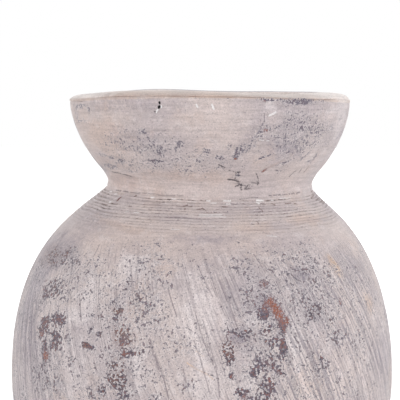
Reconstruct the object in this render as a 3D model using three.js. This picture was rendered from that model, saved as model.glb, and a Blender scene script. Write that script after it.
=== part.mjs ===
// A hand-thrown terracotta vase: a round body with a combed shoulder, a narrow waist and a flared collar.
// It is built the way a potter builds a large jar, as thrown sections that are luted together with slip:
// a beaten base disc, the lower and the upper half of the body, the collar, and a coil that makes the lip.
// Millimetres, +Z up, with the origin on the ground at the middle of the flat base.
import * as THREE from "three";

// Body
const BASE_RADIUS = 80; // flat foot, measured to its outer edge
const BASE_EDGE = 3; // worn edge all round the foot
const FLOOR_THICKNESS = 12; // base disc
const BELLY_RADIUS = 150; // widest line of the body
const BELLY_HEIGHT = 116; // ground to the widest line, where the two halves are luted
const SHOULDER_HEIGHT = 148.3; // widest line to the seat of the collar
const NECK_RADIUS = 80.6; // outside of that seat
const SHOULDER_ANGLE = 39; // degrees from upright, where the shoulder meets the collar
const FOOT_ANGLE = 46; // degrees from upright, where the body leaves the foot

// Collar and lip
const COLLAR_HEIGHT = 68; // seat of the collar to the seat of the lip
const WAIST_RISE = 3.4; // seat of the collar to the narrowest line
const WAIST_INSET = 1.1; // how far that line is drawn in from the seat
const BOWL_RISE = 10.8; // narrowest line to the start of the bowl
const BOWL_STEP = 5.6; // how far the bowl starts outside the narrowest line
const FLARE_ANGLE = 41; // degrees from upright, where the bowl starts
const MOUTH_RADIUS = 108.7; // outer corner of the lip
const LIP_HEIGHT = 6.1; // seat of the lip to its crest
const LIP_WIDTH = 19; // outer corner to inner edge
const LIP_SIDE = 1.5; // height of the lip's upright outer edge
const LIP_ROLL = 4.8; // inner edge to the crest
const LIP_DROP = 3; // crest to the foot of the roll, on the inside
const LIP_SETBACK = 0.4; // wall under the lip stands this far inside its corner

// Walls
const BODY_WALL = 10;
const FOOT_WALL = 15; // where the wall stands on the base disc
const COLLAR_WALL = 11;
const MOUTH_WALL = 14; // collar wall under the lip

// Marks of the making
const COMB_GROOVES = 12; // grooves combed round the shoulder while it turned
const COMB_PITCH = 2.9;
const COMB_DEPTH = 0.6;
const COMB_START = 1.6; // seat of the collar to the first groove, along the surface
const RING_PITCH = 24; // throwing rings inside the body
const RING_DEPTH = 0.8;

// Luted joints: a tongue under each section sits in a groove on top of the one below, in a film of slip
const TONGUE_WIDTH = 3.6;
const TONGUE_HEIGHT = 4;
const LIP_TONGUE_HEIGHT = 2.5;
const SLIP = 0.3;

// How far the finished vase is from true
const NECK_LEAN = 6.6; // seat of the collar, off the axis of the belly towards +X
const LIP_LEAN = 6; // seat of the lip, off that axis
const NECK_TILT = 1.1; // degrees, the seat of the collar dips towards +X
const LIP_TILT = 0.3; // degrees, the seat of the lip dips towards +X
const LEAN_SHARPNESS = 4; // how late on the shoulder the lean begins
const LIP_SADDLE = 1.8; // front and back of the lip stand up by this much, and its sides dip by it
const LIP_BACK_RISE = 0.5; // back of the lip stands up by this much more, and its front dips by it

// Cubic curves: the length of each end's handle, as a share of the curve's rise
const FOOT_HANDLE = 0.39;
const LOWER_BELLY_HANDLE = 0.49;
const UPPER_BELLY_HANDLE = 0.75;
const SHOULDER_HANDLE = 0.147;
const WAIST_HANDLE = 0.265;
const BOWL_HANDLE = 0.52;
const MOUTH_HANDLE = 0.17;

// Facets
const FACETS_ROUND = 48;
const LOWER_STEPS = 9;
const UPPER_STEPS = 8;
const EDGE_STEPS = 3;
const WAIST_STEPS = 4;
const BOWL_STEPS = 7;
const LIP_STEPS = 5;
const ROLL_STEPS = 4;

// Heights of the joints, each the top of the section below it
const floorSeat = FLOOR_THICKNESS;
const bellySeat = BELLY_HEIGHT;
const neckSeat = BELLY_HEIGHT + SHOULDER_HEIGHT;
const lipSeat = neckSeat + COLLAR_HEIGHT;

const point = (radius, height) => new THREE.Vector2(radius, height);

// A cubic curve in the (radius, height) plane. Each end has an angle from upright, outwards when positive.
function cubic(start, startAngle, startHandle, end, endAngle, endHandle) {
  const rise = end.y - start.y;
  const away = (angle, length) =>
    point(Math.sin(THREE.MathUtils.degToRad(angle)), Math.cos(THREE.MathUtils.degToRad(angle)))
      .multiplyScalar(length * rise);
  return new THREE.CubicBezierCurve(
    start,
    start.clone().add(away(startAngle, startHandle)),
    end.clone().sub(away(endAngle, endHandle)),
    end,
  );
}

// Outside of the body, from the foot to the widest line and from there to the seat of the collar
const lowerCurve = cubic(
  point(BASE_RADIUS, 0), FOOT_ANGLE, FOOT_HANDLE,
  point(BELLY_RADIUS, bellySeat), 0, LOWER_BELLY_HANDLE,
);
const upperCurve = cubic(
  point(BELLY_RADIUS, bellySeat), 0, UPPER_BELLY_HANDLE,
  point(NECK_RADIUS, neckSeat), -SHOULDER_ANGLE, SHOULDER_HANDLE,
);

// Outside of the collar: in to the waist, out again in a tight curve, then up the bowl to the lip
const waist = point(NECK_RADIUS - WAIST_INSET, neckSeat + WAIST_RISE);
const bowlStart = point(waist.x + BOWL_STEP, waist.y + BOWL_RISE);
const mouth = point(MOUTH_RADIUS - LIP_SETBACK, lipSeat);
const waistCurve = cubic(waist, 0, WAIST_HANDLE, bowlStart, FLARE_ANGLE, WAIST_HANDLE);
const bowlCurve = cubic(bowlStart, FLARE_ANGLE, BOWL_HANDLE, mouth, 0, MOUTH_HANDLE);

// Where along a rising curve, from 0 to 1, a height is reached
function shareAtHeight(curve, height) {
  let [low, high] = [0, 1];
  for (let i = 0; i < 40; i++) {
    const middle = (low + high) / 2;
    if (curve.getPoint(middle).y < height) low = middle;
    else high = middle;
  }
  return (low + high) / 2;
}

// The part of a curve above a height, in equal steps
function pointsAbove(curve, height, steps) {
  const first = shareAtHeight(curve, height);
  return Array.from({ length: steps + 1 }, (_, i) =>
    curve.getPoint(THREE.MathUtils.lerp(first, 1, i / steps)),
  );
}

// The outward normal of a path of points at one of them
function normalAt(points, i) {
  const along = points[Math.min(i + 1, points.length - 1)].clone().sub(points[Math.max(i - 1, 0)]);
  return point(along.y, -along.x).normalize();
}

// The inside of a wall, from its top down to its bottom, with its two ends level with those of the outside.
// The thickness runs evenly from one end to the other, and throwing rings ripple it.
function insideOf(outside, bottomWall, topWall, ringDepth = 0) {
  const [bottom, top] = [outside[0], outside.at(-1)];
  const clear = Math.min(bottomWall, topWall) / 2;
  const between = outside
    .map((p, i) => {
      const wall = THREE.MathUtils.lerp(bottomWall, topWall, (p.y - bottom.y) / (top.y - bottom.y));
      const ripple = i % 2 ? ringDepth : 0;
      return p.clone().addScaledVector(normalAt(outside, i), ripple - wall);
    })
    .filter((p) => p.y > bottom.y + clear && p.y < top.y - clear);
  return [point(bottom.x - bottomWall, bottom.y), ...between, point(top.x - topWall, top.y)].reverse();
}

// Evenly spaced points along a curve, close enough together that two of them span one throwing ring
function ringPoints(curve, firstHeight) {
  const steps = 2 * Math.max(2, Math.round(curve.getLength() / RING_PITCH));
  return pointsAbove(curve, firstHeight, steps);
}

// Middle of the tongue and groove between two sections whose wall runs from one radius to the other
const jointMiddle = (outer, inner) => (outer + inner) / 2;

// A groove in the top of a section, from its outer side to its inner side
function groove(outer, inner, seat, tongueHeight = TONGUE_HEIGHT) {
  const middle = jointMiddle(outer, inner);
  const reach = TONGUE_WIDTH / 2 + SLIP;
  const depth = tongueHeight + SLIP;
  return [
    point(middle + reach, seat),
    point(middle + reach, seat - depth),
    point(middle - reach, seat - depth),
    point(middle - reach, seat),
  ];
}

// A tongue under the next section, from its inner side to its outer side
function tongue(outer, inner, seat, tongueHeight = TONGUE_HEIGHT) {
  const middle = jointMiddle(outer, inner);
  const reach = TONGUE_WIDTH / 2;
  return [
    point(middle - reach, seat + SLIP),
    point(middle - reach, seat + SLIP - tongueHeight),
    point(middle + reach, seat + SLIP - tongueHeight),
    point(middle + reach, seat + SLIP),
  ];
}

// Leans and dips the clay from the shoulder up, and waves the lip, as drying and firing left them
function warp(vertex) {
  const { clamp, lerp, degToRad } = THREE.MathUtils;
  const shoulder = clamp((vertex.z - bellySeat) / SHOULDER_HEIGHT, 0, 1) ** LEAN_SHARPNESS;
  const collar = clamp((vertex.z - neckSeat) / COLLAR_HEIGHT, 0, 1);
  const around = Math.atan2(vertex.y, vertex.x);
  const wave = LIP_BACK_RISE * Math.sin(around) - LIP_SADDLE * Math.cos(2 * around);
  const dip = vertex.x * Math.tan(degToRad(lerp(NECK_TILT, LIP_TILT, collar)));
  vertex.z += wave * collar ** 2 - dip * shoulder;
  vertex.x += lerp(NECK_LEAN, LIP_LEAN, collar) * shoulder;
  return vertex;
}

// Revolves a profile that runs up the outside and down the inside, and warps it as the clay was warped
function thrown(name, profile, material) {
  const geometry = new THREE.LatheGeometry(profile, FACETS_ROUND);
  geometry.rotateX(Math.PI / 2);
  const place = geometry.getAttribute("position");
  const vertex = new THREE.Vector3();
  for (let i = 0; i < place.count; i++) {
    warp(vertex.fromBufferAttribute(place, i));
    place.setXYZ(i, vertex.x, vertex.y, vertex.z);
  }
  geometry.computeVertexNormals();
  const mesh = new THREE.Mesh(geometry, material);
  mesh.name = name;
  return mesh;
}

// Closes a profile on its first point
const closed = (points) => [...points, points[0].clone()];

function baseDisc(material) {
  const side = lowerCurve.getPoint(shareAtHeight(lowerCurve, BASE_EDGE));
  const rim = lowerCurve.getPoint(shareAtHeight(lowerCurve, floorSeat));
  const middle = lowerCurve.getPoint(shareAtHeight(lowerCurve, (BASE_EDGE + floorSeat) / 2));
  const flatEnd = point(BASE_RADIUS - BASE_EDGE, 0);
  const edge = new THREE.QuadraticBezierCurve(flatEnd, point(BASE_RADIUS, 0), side);
  return thrown(
    "base_disc",
    [
      point(0, 0),
      ...edge.getPoints(EDGE_STEPS),
      middle,
      rim,
      ...groove(rim.x, rim.x - FOOT_WALL, floorSeat),
      point(0, floorSeat),
    ],
    material,
  );
}

function lowerBody(material) {
  const outside = pointsAbove(lowerCurve, floorSeat + SLIP, LOWER_STEPS);
  const foot = lowerCurve.getPoint(shareAtHeight(lowerCurve, floorSeat)).x;
  const rings = ringPoints(lowerCurve, floorSeat + SLIP);
  return thrown(
    "lower_body",
    closed([
      ...outside,
      ...groove(BELLY_RADIUS, BELLY_RADIUS - BODY_WALL, bellySeat),
      ...insideOf(rings, FOOT_WALL, BODY_WALL, RING_DEPTH),
      ...tongue(foot, foot - FOOT_WALL, floorSeat),
    ]),
    material,
  );
}

// Outside of the shoulder: smooth from the widest line, then a zigzag of combed grooves up to the seat
function combedOutside() {
  const length = upperCurve.getLength();
  const combed = COMB_START + COMB_GROOVES * COMB_PITCH;
  const shareFromTop = (distance) => 1 - distance / length;
  const smooth = Array.from({ length: UPPER_STEPS }, (_, i) =>
    upperCurve.getPointAt((i / UPPER_STEPS) * shareFromTop(combed)),
  );
  smooth[0] = upperCurve.getPoint(shareAtHeight(upperCurve, bellySeat + SLIP));
  const zigzag = [];
  for (let i = 2 * COMB_GROOVES; i >= 0; i--) {
    const share = shareFromTop(COMB_START + (i * COMB_PITCH) / 2);
    const along = upperCurve.getTangentAt(share);
    const depth = i % 2 ? COMB_DEPTH : 0;
    zigzag.push(upperCurve.getPointAt(share).addScaledVector(point(along.y, -along.x), -depth));
  }
  return [...smooth, ...zigzag, point(NECK_RADIUS, neckSeat)];
}

function upperBody(material) {
  const rings = ringPoints(upperCurve, bellySeat + SLIP);
  return thrown(
    "upper_body",
    closed([
      ...combedOutside(),
      ...groove(NECK_RADIUS, NECK_RADIUS - COLLAR_WALL, neckSeat),
      ...insideOf(rings, BODY_WALL, COLLAR_WALL, RING_DEPTH),
      ...tongue(BELLY_RADIUS, BELLY_RADIUS - BODY_WALL, bellySeat),
    ]),
    material,
  );
}

function neckCollar(material) {
  const outside = [
    point(NECK_RADIUS, neckSeat + SLIP),
    ...waistCurve.getPoints(WAIST_STEPS),
    ...bowlCurve.getPoints(BOWL_STEPS).slice(1),
  ];
  return thrown(
    "neck_collar",
    closed([
      ...outside,
      ...groove(mouth.x, mouth.x - MOUTH_WALL, lipSeat, LIP_TONGUE_HEIGHT),
      ...insideOf(outside, COLLAR_WALL, MOUTH_WALL),
      ...tongue(NECK_RADIUS, NECK_RADIUS - COLLAR_WALL, neckSeat),
    ]),
    material,
  );
}

// The lip is a flattened coil: its top slopes gently down to the outer corner and rolls over on the inside
function lipCoil(material) {
  const bottom = lipSeat + SLIP;
  const crest = lipSeat + LIP_HEIGHT;
  const corner = point(MOUTH_RADIUS, bottom + LIP_SIDE);
  const inner = MOUTH_RADIUS - LIP_WIDTH;
  const top = new THREE.CubicBezierCurve(
    corner,
    point(corner.x - LIP_SIDE, crest - LIP_SIDE),
    point(inner + 2 * LIP_ROLL, crest),
    point(inner + LIP_ROLL, crest),
  );
  const roll = new THREE.CubicBezierCurve(
    point(inner + LIP_ROLL, crest),
    point(inner, crest),
    point(inner, crest - LIP_DROP / 2),
    point(inner, crest - LIP_DROP),
  );
  const wallInside = mouth.x - MOUTH_WALL;
  return thrown(
    "lip_coil",
    closed([
      point(mouth.x, bottom),
      ...top.getPoints(LIP_STEPS),
      ...roll.getPoints(ROLL_STEPS).slice(1),
      point(wallInside, bottom),
      ...tongue(mouth.x, wallInside, lipSeat, LIP_TONGUE_HEIGHT),
    ]),
    material,
  );
}

const fired = (name, color, roughness) => {
  const material = new THREE.MeshStandardMaterial({ color, roughness, metalness: 0 });
  material.name = name;
  return material;
};
const washedClay = fired("washed_clay", 0xc9bab9, 0.92);
const combedClay = fired("combed_clay", 0xb8acab, 0.94);
const wipedClay = fired("wiped_clay", 0xc3b1ab, 0.88);

const vase = new THREE.Group();
vase.add(
  baseDisc(washedClay),
  lowerBody(washedClay),
  upperBody(combedClay),
  neckCollar(washedClay),
  lipCoil(wipedClay),
);
export default vase;
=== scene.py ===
import math
from typing import NamedTuple

import bpy
import numpy as np
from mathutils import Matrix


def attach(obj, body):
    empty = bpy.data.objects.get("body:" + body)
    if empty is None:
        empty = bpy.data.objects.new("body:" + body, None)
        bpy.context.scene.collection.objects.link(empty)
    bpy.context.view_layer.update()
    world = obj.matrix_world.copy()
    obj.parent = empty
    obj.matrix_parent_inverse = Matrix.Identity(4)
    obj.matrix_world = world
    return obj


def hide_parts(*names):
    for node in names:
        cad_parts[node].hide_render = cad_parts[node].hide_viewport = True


# The looks of a limewashed terracotta vase. Each section of the CAD model is replaced by a fine mesh of the
# same form, with the marks of throwing, combing, scraping and wear. Lengths are in millimetres unless said.
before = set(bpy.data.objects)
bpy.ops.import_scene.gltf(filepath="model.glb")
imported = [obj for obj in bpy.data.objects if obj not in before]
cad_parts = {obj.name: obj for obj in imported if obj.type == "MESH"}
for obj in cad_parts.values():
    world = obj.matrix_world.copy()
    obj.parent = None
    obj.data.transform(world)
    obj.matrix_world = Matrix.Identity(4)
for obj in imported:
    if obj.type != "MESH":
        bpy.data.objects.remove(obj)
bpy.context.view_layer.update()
MM = 0.001

# Form of the solids
BASE_RADIUS = 80
BASE_EDGE = 3
FLOOR_THICKNESS = 12
BELLY_RADIUS = 150
BELLY_SEAT = 116
SHOULDER_HEIGHT = 148.3
NECK_RADIUS = 80.6
SHOULDER_ANGLE = 39
FOOT_ANGLE = 46
COLLAR_HEIGHT = 68
WAIST_RISE = 3.4
WAIST_INSET = 1.1
BOWL_RISE = 10.8
BOWL_STEP = 5.6
FLARE_ANGLE = 41
MOUTH_RADIUS = 108.7
LIP_HEIGHT = 6.1
LIP_WIDTH = 19
LIP_SIDE = 1.5
LIP_ROLL = 4.8
LIP_DROP = 3
LIP_SETBACK = 0.4
BODY_WALL = 10
FOOT_WALL = 15
COLLAR_WALL = 11
MOUTH_WALL = 14
TONGUE_WIDTH = 3.6
TONGUE_HEIGHT = 4
LIP_TONGUE_HEIGHT = 2.5
SLIP = 0.3
FOOT_HANDLE = 0.39
LOWER_BELLY_HANDLE = 0.49
UPPER_BELLY_HANDLE = 0.75
SHOULDER_HANDLE = 0.147
WAIST_HANDLE = 0.265
BOWL_HANDLE = 0.52
MOUTH_HANDLE = 0.17
NECK_SEAT = BELLY_SEAT + SHOULDER_HEIGHT
LIP_SEAT = NECK_SEAT + COLLAR_HEIGHT

# How far the vase is from true
NECK_LEAN = 6.6
LIP_LEAN = 6
NECK_TILT = 1.1
LIP_TILT = 0.3
LEAN_SHARPNESS = 4
LIP_SADDLE = 1.8
LIP_BACK_RISE = 0.5

# Marks of the making
COMB_START = 1.6
COMB_GROOVES = 12
COMB_PITCH = 2.9
COMB_DEPTH = 0.55
COMB_END = COMB_START + COMB_GROOVES * COMB_PITCH
BODY_START = COMB_END + 34  # distance down at which the scraping and the wear of the body are full
SCRAPE_TWIST = 0.00276  # turn of the scraping marks round the axis, radians for each mm of height
SCRAPE_WIDTH = 6.5
SCRAPE_DEPTH = 0.2
RING_PITCH = 11
RING_DEPTH = 0.5
SWELL_DEPTH = 0.35
RIPPLE_DEPTH = 0.1
WIPE_DEPTH = 0.09
CREASE_DEPTH = 0.5
CREASE_WIDTH = 0.8
COLLAR_FOOT_RISE = 0.35  # the collar's foot swells just above the crease at its seat
SEAT_ROUGHNESS = 0.22
LIP_SEAM_DEPTH = 0.4
LIP_SEAM_WIDTH = 0.45

# Marks that run along a direction are drawn out along it by a scale, in the relief and in the colours
RELIEF_SCRAPE_SCALE = 0.05
RELIEF_WIPE_SCALE = 0.12
SCRAPE_SCALE = 0.045
WIPE_SCALE = 0.08
DASH_SCALE = 0.45
SEED_STEPS = (37, 17, 71)  # how far the noise moves in mm for each step of its seed

# Wear is a number on each point of the clay, and the wash flakes off where it and noise reach the flake score
FLAKE_SCORE = 0.685
RING_BAND = (FLAKE_SCORE - 0.12, FLAKE_SCORE - 0.03)  # pale wash round a flake
EDGE_BAND = (FLAKE_SCORE - 0.014, FLAKE_SCORE + 0.008)  # thin wash at its edge
CORE_BAND = (FLAKE_SCORE + 0.005, FLAKE_SCORE + 0.034)  # bare clay in it
DEEP_BAND = (FLAKE_SCORE + 0.06, FLAKE_SCORE + 0.11)  # the middle of a large flake
CLEAN_MARGIN = 0.7  # how far below 0 the wear is in clean places
MARK_MARGIN = 0.35  # half of how far below 0 the wear is outside the marked places
FOOT_WEAR = 0.85
FOOT_WEAR_HEIGHT = 22
LINE_REACH = 2.6  # how far from a thin line its strength reaches
LEAST_FACING = 0.4  # a patch seen aslant is widened by 1 / this at most
SEEN_TURN = 74  # degrees from the front within which the photograph says where the patches are
HIDDEN_TURN = 87  # degrees from the front beyond which a loose field of wear stays out of its sight
UNSEEN_SEED = 7
UNSEEN_BODY_PATCHES = 330
UNSEEN_COLLAR_PATCHES = 90
LOOSE_SPREAD = 2.2  # how much larger the loose field of wear is than the unseen worn patch in it
LOOSE_STRENGTH = 0.66

# Mesh
BODY_COLUMNS = 520
COLLAR_COLUMNS = 720
BASE_COLUMNS = 480
CROWDING = 0.42  # columns are this share closer together at the front, and further apart at the back
FRONT = -math.pi / 2
CURVE_POINTS = 400
BODY_STEP = 2.1
COMB_STEP = 0.7
COLLAR_STEP = 0.8
INSIDE_STEP = 9
POLE_RADIUS = 8
SHARP_ANGLE = 50  # degrees
LATTICE = 64  # cells along a side of the noise before it repeats

# Camera, from the photograph's perspective
CAMERA_SIDE = -1.35
CAMERA_DISTANCE = 797.6
CAMERA_HEIGHT = 333.8
CAMERA_PITCH = 5.74  # degrees down
CAMERA_LENS = 91.34
SENSOR = 36
PHOTO_SIDE = 400  # pixels

# Heights and depths in the materials' own fine relief
GRAIN_HEIGHT = 0.1
STREAK_HEIGHT = 0.12
LINE_DEPTH = 0.22
GROOVE_DEPTH = 0.12
FLAKE_DEPTH = 0.16
CRACK_DEPTH = 0.3
LIME_HEIGHT = 0.25
PIT_DEPTH = 0.8

# Surface of fired clay
CLAY_ROUGHNESS = 0.93
FLAKE_SMOOTHNESS = 0.14  # how much less rough the clay in the flakes is than the wash
CLAY_SPECULAR = 0.25
CLAY_SHEEN = 0.35
SHEEN_ROUGHNESS = 0.5

# Light. Lamps are square and soft, by their place and side in metres and their power in watts
WORLD_LIGHT = 0.87
OVERHEAD_LIGHT = 0.515
PLAIN_WHITE = (1, 1, 1, 1)
FLOOR_PAPER = (0.8, 0.8, 0.8, 1)
FLOOR_SIDE = 12  # metres
FLOOR_GLOW = 0.66
LIGHT_AIM = (0, 0, 0.2)
LIGHTS = {
    "front_left": ((-1, -2.1, 0.8), 1.4, 15.6),
    "front_right": ((1.9, -1.1, 0.5), 1.4, 11.9),
    "side_right": ((2.1, 0.9, 0.7), 1, 11),
    "side_left": ((-2.1, 1, 0.8), 1, 4.6),
    "rear": ((0.2, 2.5, 0.9), 1.4, 8.2),
}


# Outline

def cubic(start, start_angle, start_handle, end, end_angle, end_handle):
    """Points of a rising curve, as radii and heights. The angle at an end is from upright, outwards."""
    start = np.array(start, float)
    end = np.array(end, float)
    rise = end[1] - start[1]

    def away(angle, share):
        turn = math.radians(angle)
        return share * rise * np.array([math.sin(turn), math.cos(turn)])

    return bezier(start, start + away(start_angle, start_handle), end - away(end_angle, end_handle), end)


def bezier(start, first, second, end):
    """Points of a cubic curve from its ends and its two handles."""
    t = np.linspace(0, 1, CURVE_POINTS)[:, None]
    start, first, second, end = (np.array(p, float) for p in (start, first, second, end))
    return (1 - t) ** 3 * start + 3 * t * (1 - t) ** 2 * first + 3 * t**2 * (1 - t) * second + t**3 * end


def lengths(path):
    """Distance along a path of points, from its start."""
    return np.concatenate([[0], np.cumsum(np.hypot(*np.diff(path, axis=0).T))])


LOWER_CURVE = cubic(
    (BASE_RADIUS, 0), FOOT_ANGLE, FOOT_HANDLE,
    (BELLY_RADIUS, BELLY_SEAT), 0, LOWER_BELLY_HANDLE,
)
UPPER_CURVE = cubic(
    (BELLY_RADIUS, BELLY_SEAT), 0, UPPER_BELLY_HANDLE,
    (NECK_RADIUS, NECK_SEAT), -SHOULDER_ANGLE, SHOULDER_HANDLE,
)
WAIST = (NECK_RADIUS - WAIST_INSET, NECK_SEAT + WAIST_RISE)
BOWL_START = (WAIST[0] + BOWL_STEP, WAIST[1] + BOWL_RISE)
MOUTH = (MOUTH_RADIUS - LIP_SETBACK, LIP_SEAT)
CORNER = (MOUTH_RADIUS, LIP_SEAT + LIP_SIDE)
CREST = LIP_SEAT + LIP_HEIGHT
LIP_INNER = MOUTH_RADIUS - LIP_WIDTH
ROLL_START = (LIP_INNER + LIP_ROLL, CREST)
LIP_TOP = bezier(
    CORNER, (CORNER[0] - LIP_SIDE, CREST - LIP_SIDE), (LIP_INNER + 2 * LIP_ROLL, CREST), ROLL_START
)
LIP_INSIDE = bezier(
    ROLL_START, (LIP_INNER, CREST), (LIP_INNER, CREST - LIP_DROP / 2), (LIP_INNER, CREST - LIP_DROP)
)
COLLAR_PATH = np.concatenate([
    [(NECK_RADIUS, NECK_SEAT)],
    cubic(WAIST, 0, WAIST_HANDLE, BOWL_START, FLARE_ANGLE, WAIST_HANDLE),
    cubic(BOWL_START, FLARE_ANGLE, BOWL_HANDLE, MOUTH, 0, MOUTH_HANDLE)[1:],
])
LIP_PATH = np.concatenate([[MOUTH], LIP_TOP])

# The whole outside, from the lip's crest down to the ground, by its distance down from the seat of the collar
WHOLE_PATH = np.concatenate([LOWER_CURVE, UPPER_CURVE[1:], COLLAR_PATH[1:], LIP_PATH[1:]])[::-1]
COLLAR_LENGTH = lengths(COLLAR_PATH)[-1]
TOP_LENGTH = COLLAR_LENGTH + lengths(LIP_PATH)[-1]
SHOULDER_LENGTH = lengths(UPPER_CURVE)[-1]
WHOLE_DOWN = lengths(WHOLE_PATH) - TOP_LENGTH


def outside_at(down):
    """Radius and height of the outside at a distance down from the seat of the collar."""
    return np.stack([np.interp(down, WHOLE_DOWN, WHOLE_PATH[:, k]) for k in (0, 1)], axis=-1)


def down_at_height(height):
    """Distance down from the seat of the collar at a height on the body."""
    body = WHOLE_DOWN >= 0
    return float(np.interp(-height, -WHOLE_PATH[body, 1], WHOLE_DOWN[body]))


def warp(points):
    """Leans and dips the clay from the shoulder up, and waves the lip, as the solids are."""
    x, y, z = points[..., 0], points[..., 1], points[..., 2]
    shoulder = np.clip((z - BELLY_SEAT) / SHOULDER_HEIGHT, 0, 1) ** LEAN_SHARPNESS
    collar = np.clip((z - NECK_SEAT) / COLLAR_HEIGHT, 0, 1)
    around = np.arctan2(y, x)
    wave = LIP_BACK_RISE * np.sin(around) - LIP_SADDLE * np.cos(2 * around)
    dip = x * np.tan(np.radians(NECK_TILT + (LIP_TILT - NECK_TILT) * collar))
    lean = (NECK_LEAN + (LIP_LEAN - NECK_LEAN) * collar) * shoulder
    return np.stack([x + lean, y, z + wave * collar**2 - dip * shoulder], axis=-1)


def round_axis(angle, radius, height):
    """Points at an angle round the vase's axis."""
    return np.stack([radius * np.cos(angle), radius * np.sin(angle), height + 0 * angle], axis=-1)


# Noise

def smooth(value, low, high):
    """0 below low, 1 above high, and a smooth rise between."""
    t = np.clip((value - low) / (high - low), 0, 1)
    return t * t * (3 - 2 * t)


def bump(value, middle, width):
    """1 at the middle, falling off smoothly on both sides."""
    return np.exp(-(((value - middle) / width) ** 2))


def noise(points, size, seed):
    """Smooth noise from -1 to 1, whose lumps are about size mm across."""
    table = np.random.default_rng(seed).uniform(-1, 1, (LATTICE, LATTICE, LATTICE))
    scaled = points / size + LATTICE
    cell = np.floor(scaled).astype(int)
    t = scaled - cell
    t = t * t * (3 - 2 * t)
    total = 0
    for corner in np.ndindex(2, 2, 2):
        weight = np.prod([t[..., k] if corner[k] else 1 - t[..., k] for k in range(3)], axis=0)
        index = [(cell[..., k] + corner[k]) % LATTICE for k in range(3)]
        total = total + weight * table[index[0], index[1], index[2]]
    return total


# Relief of the clay

def scrape_space(points):
    """Space in which the scraping marks on the body run upright, drawn out along the marks."""
    turned = np.arctan2(points[..., 1], points[..., 0]) + SCRAPE_TWIST * points[..., 2]
    upright = RELIEF_SCRAPE_SCALE * points[..., 2]
    return round_axis(turned, BELLY_RADIUS, upright)


def wipe_space(points):
    """Space in which marks run level round the vase, drawn out round it."""
    return points * np.array([RELIEF_WIPE_SCALE, RELIEF_WIPE_SCALE, 1])


def scraped(down):
    """How strongly the body is scraped there, from 0 to 1."""
    return smooth(down, COMB_END - 2, BODY_START)


def comb_phase(points, down):
    """Counts the combed grooves down from the seat, each groove from one whole number to the next."""
    wander = 0.35 * noise(points, 34, 11) + 0.12 * noise(points, 9, 12)
    apart = 0.26 * noise(wipe_space(points), 2.6, 14)
    return (down - COMB_START) / COMB_PITCH + wander + apart


def comb_strength(points, down):
    """How deep the comb went there, from 0 to 1.3. It is lighter at the bottom."""
    phase = (down - COMB_START) / COMB_PITCH
    ends = smooth(phase, -0.6, 0.5) * (1 - smooth(phase, COMB_GROOVES - 1.5, COMB_GROOVES + 0.7))
    lighter = 1 - 0.55 * smooth(phase, 6.5, 9.5)
    uneven = 0.8 + 0.6 * noise(wipe_space(points), 2.2, 13) + 0.3 * noise(points, 11, 15)
    side = smooth(np.abs(points[..., 0]), 62, 84) * (1 - smooth(down, 8, 16))
    return np.clip(ends * lighter * uneven * (1 + 0.4 * side), 0, 1.3)


def relief(points, down):
    """How far the clay stands proud of the plain form, in mm, at points of the outside."""
    angle = np.arctan2(points[..., 1], points[..., 0])
    swell = SWELL_DEPTH * noise(points, 65, 1) + RIPPLE_DEPTH * noise(points, 22, 2)
    scallops = SCRAPE_DEPTH * scraped(down) * noise(scrape_space(points), SCRAPE_WIDTH, 3)
    wiped = WIPE_DEPTH * noise(wipe_space(points), 3.2, 4) * (1 - scraped(down))
    groove = 0.5 - 0.5 * np.cos(2 * math.pi * comb_phase(points, down))
    deeper = 1 + 0.5 * (1 - smooth(down, 8, 20))
    combs = -COMB_DEPTH * deeper * comb_strength(points, down) * groove
    crease_middle = 0.8 + 0.5 * noise(points, 26, 5)
    crease = -CREASE_DEPTH * bump(down, crease_middle, CREASE_WIDTH)
    foot = COLLAR_FOOT_RISE * bump(down, -2.6, 2.4)
    rough_seat = SEAT_ROUGHNESS * noise(points * np.array([0.4, 0.4, 1]), 1.5, 16) * bump(down, 4, 6)
    lip_seam = -LIP_SEAM_DEPTH * at_lip_seam(angle, down)
    return swell + scallops + wiped + combs + crease + foot + rough_seat + lip_seam


def at_lip_seam(angle, down):
    """1 on the line where the lip's coil was luted on, falling off on both sides."""
    return bump(-down - COLLAR_LENGTH, around_lip(angle, LIP_SEAM), LIP_SEAM_WIDTH)


# Turns in degrees from the front towards +X, and how far the lip's crest rises there, and how far above the
# collar's top its seam runs
LIP_CREST = {
    "rear": (180, -0.9),
    "rear left": (-150, 1.8),
    "far left": (-114, 0.4),
    "left": (-66, 0),
    "left of the front": (-46, 0.7),
    "front left": (-18, -0.3),
    "front": (0, -1.3),
    "front right": (17, -2),
    "pressed down": (30, -3),
    "right": (44, -1.1),
    "far right": (66, 1.4),
    "side right": (114, 1.9),
    "rear right": (146, 0.3),
    "right of the rear": (160, -0.8),
}
LIP_SEAM = {
    "rear": (180, 0.7),
    "left": (-66, -0.3),
    "front left": (-46, 2.4),
    "left of the front": (-20, 2),
    "front": (0, 1.1),
    "pressed down": (30, 0.5),
    "right": (44, 0.9),
    "far right": (66, 3.3),
}
LIP_ROUNDING = (-8, -4, 0, 4, 8)  # degrees over which they are averaged


def around_lip(angle, values):
    """A value round the lip, between the given ones."""
    turn = np.degrees(angle - FRONT)
    turns, heights = zip(*values.values())
    total = sum(np.interp(turn + step, turns, heights, period=360) for step in LIP_ROUNDING)
    return total / len(LIP_ROUNDING)


def sag(points):
    """Lifts and lowers the lip's crest."""
    angle = np.arctan2(points[..., 1], points[..., 0])
    rise = around_lip(angle, LIP_CREST) * smooth(points[..., 2], LIP_SEAT + 0.5, CREST - 0.5)
    return points + np.stack([0 * rise, 0 * rise, rise], axis=-1)


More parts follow.
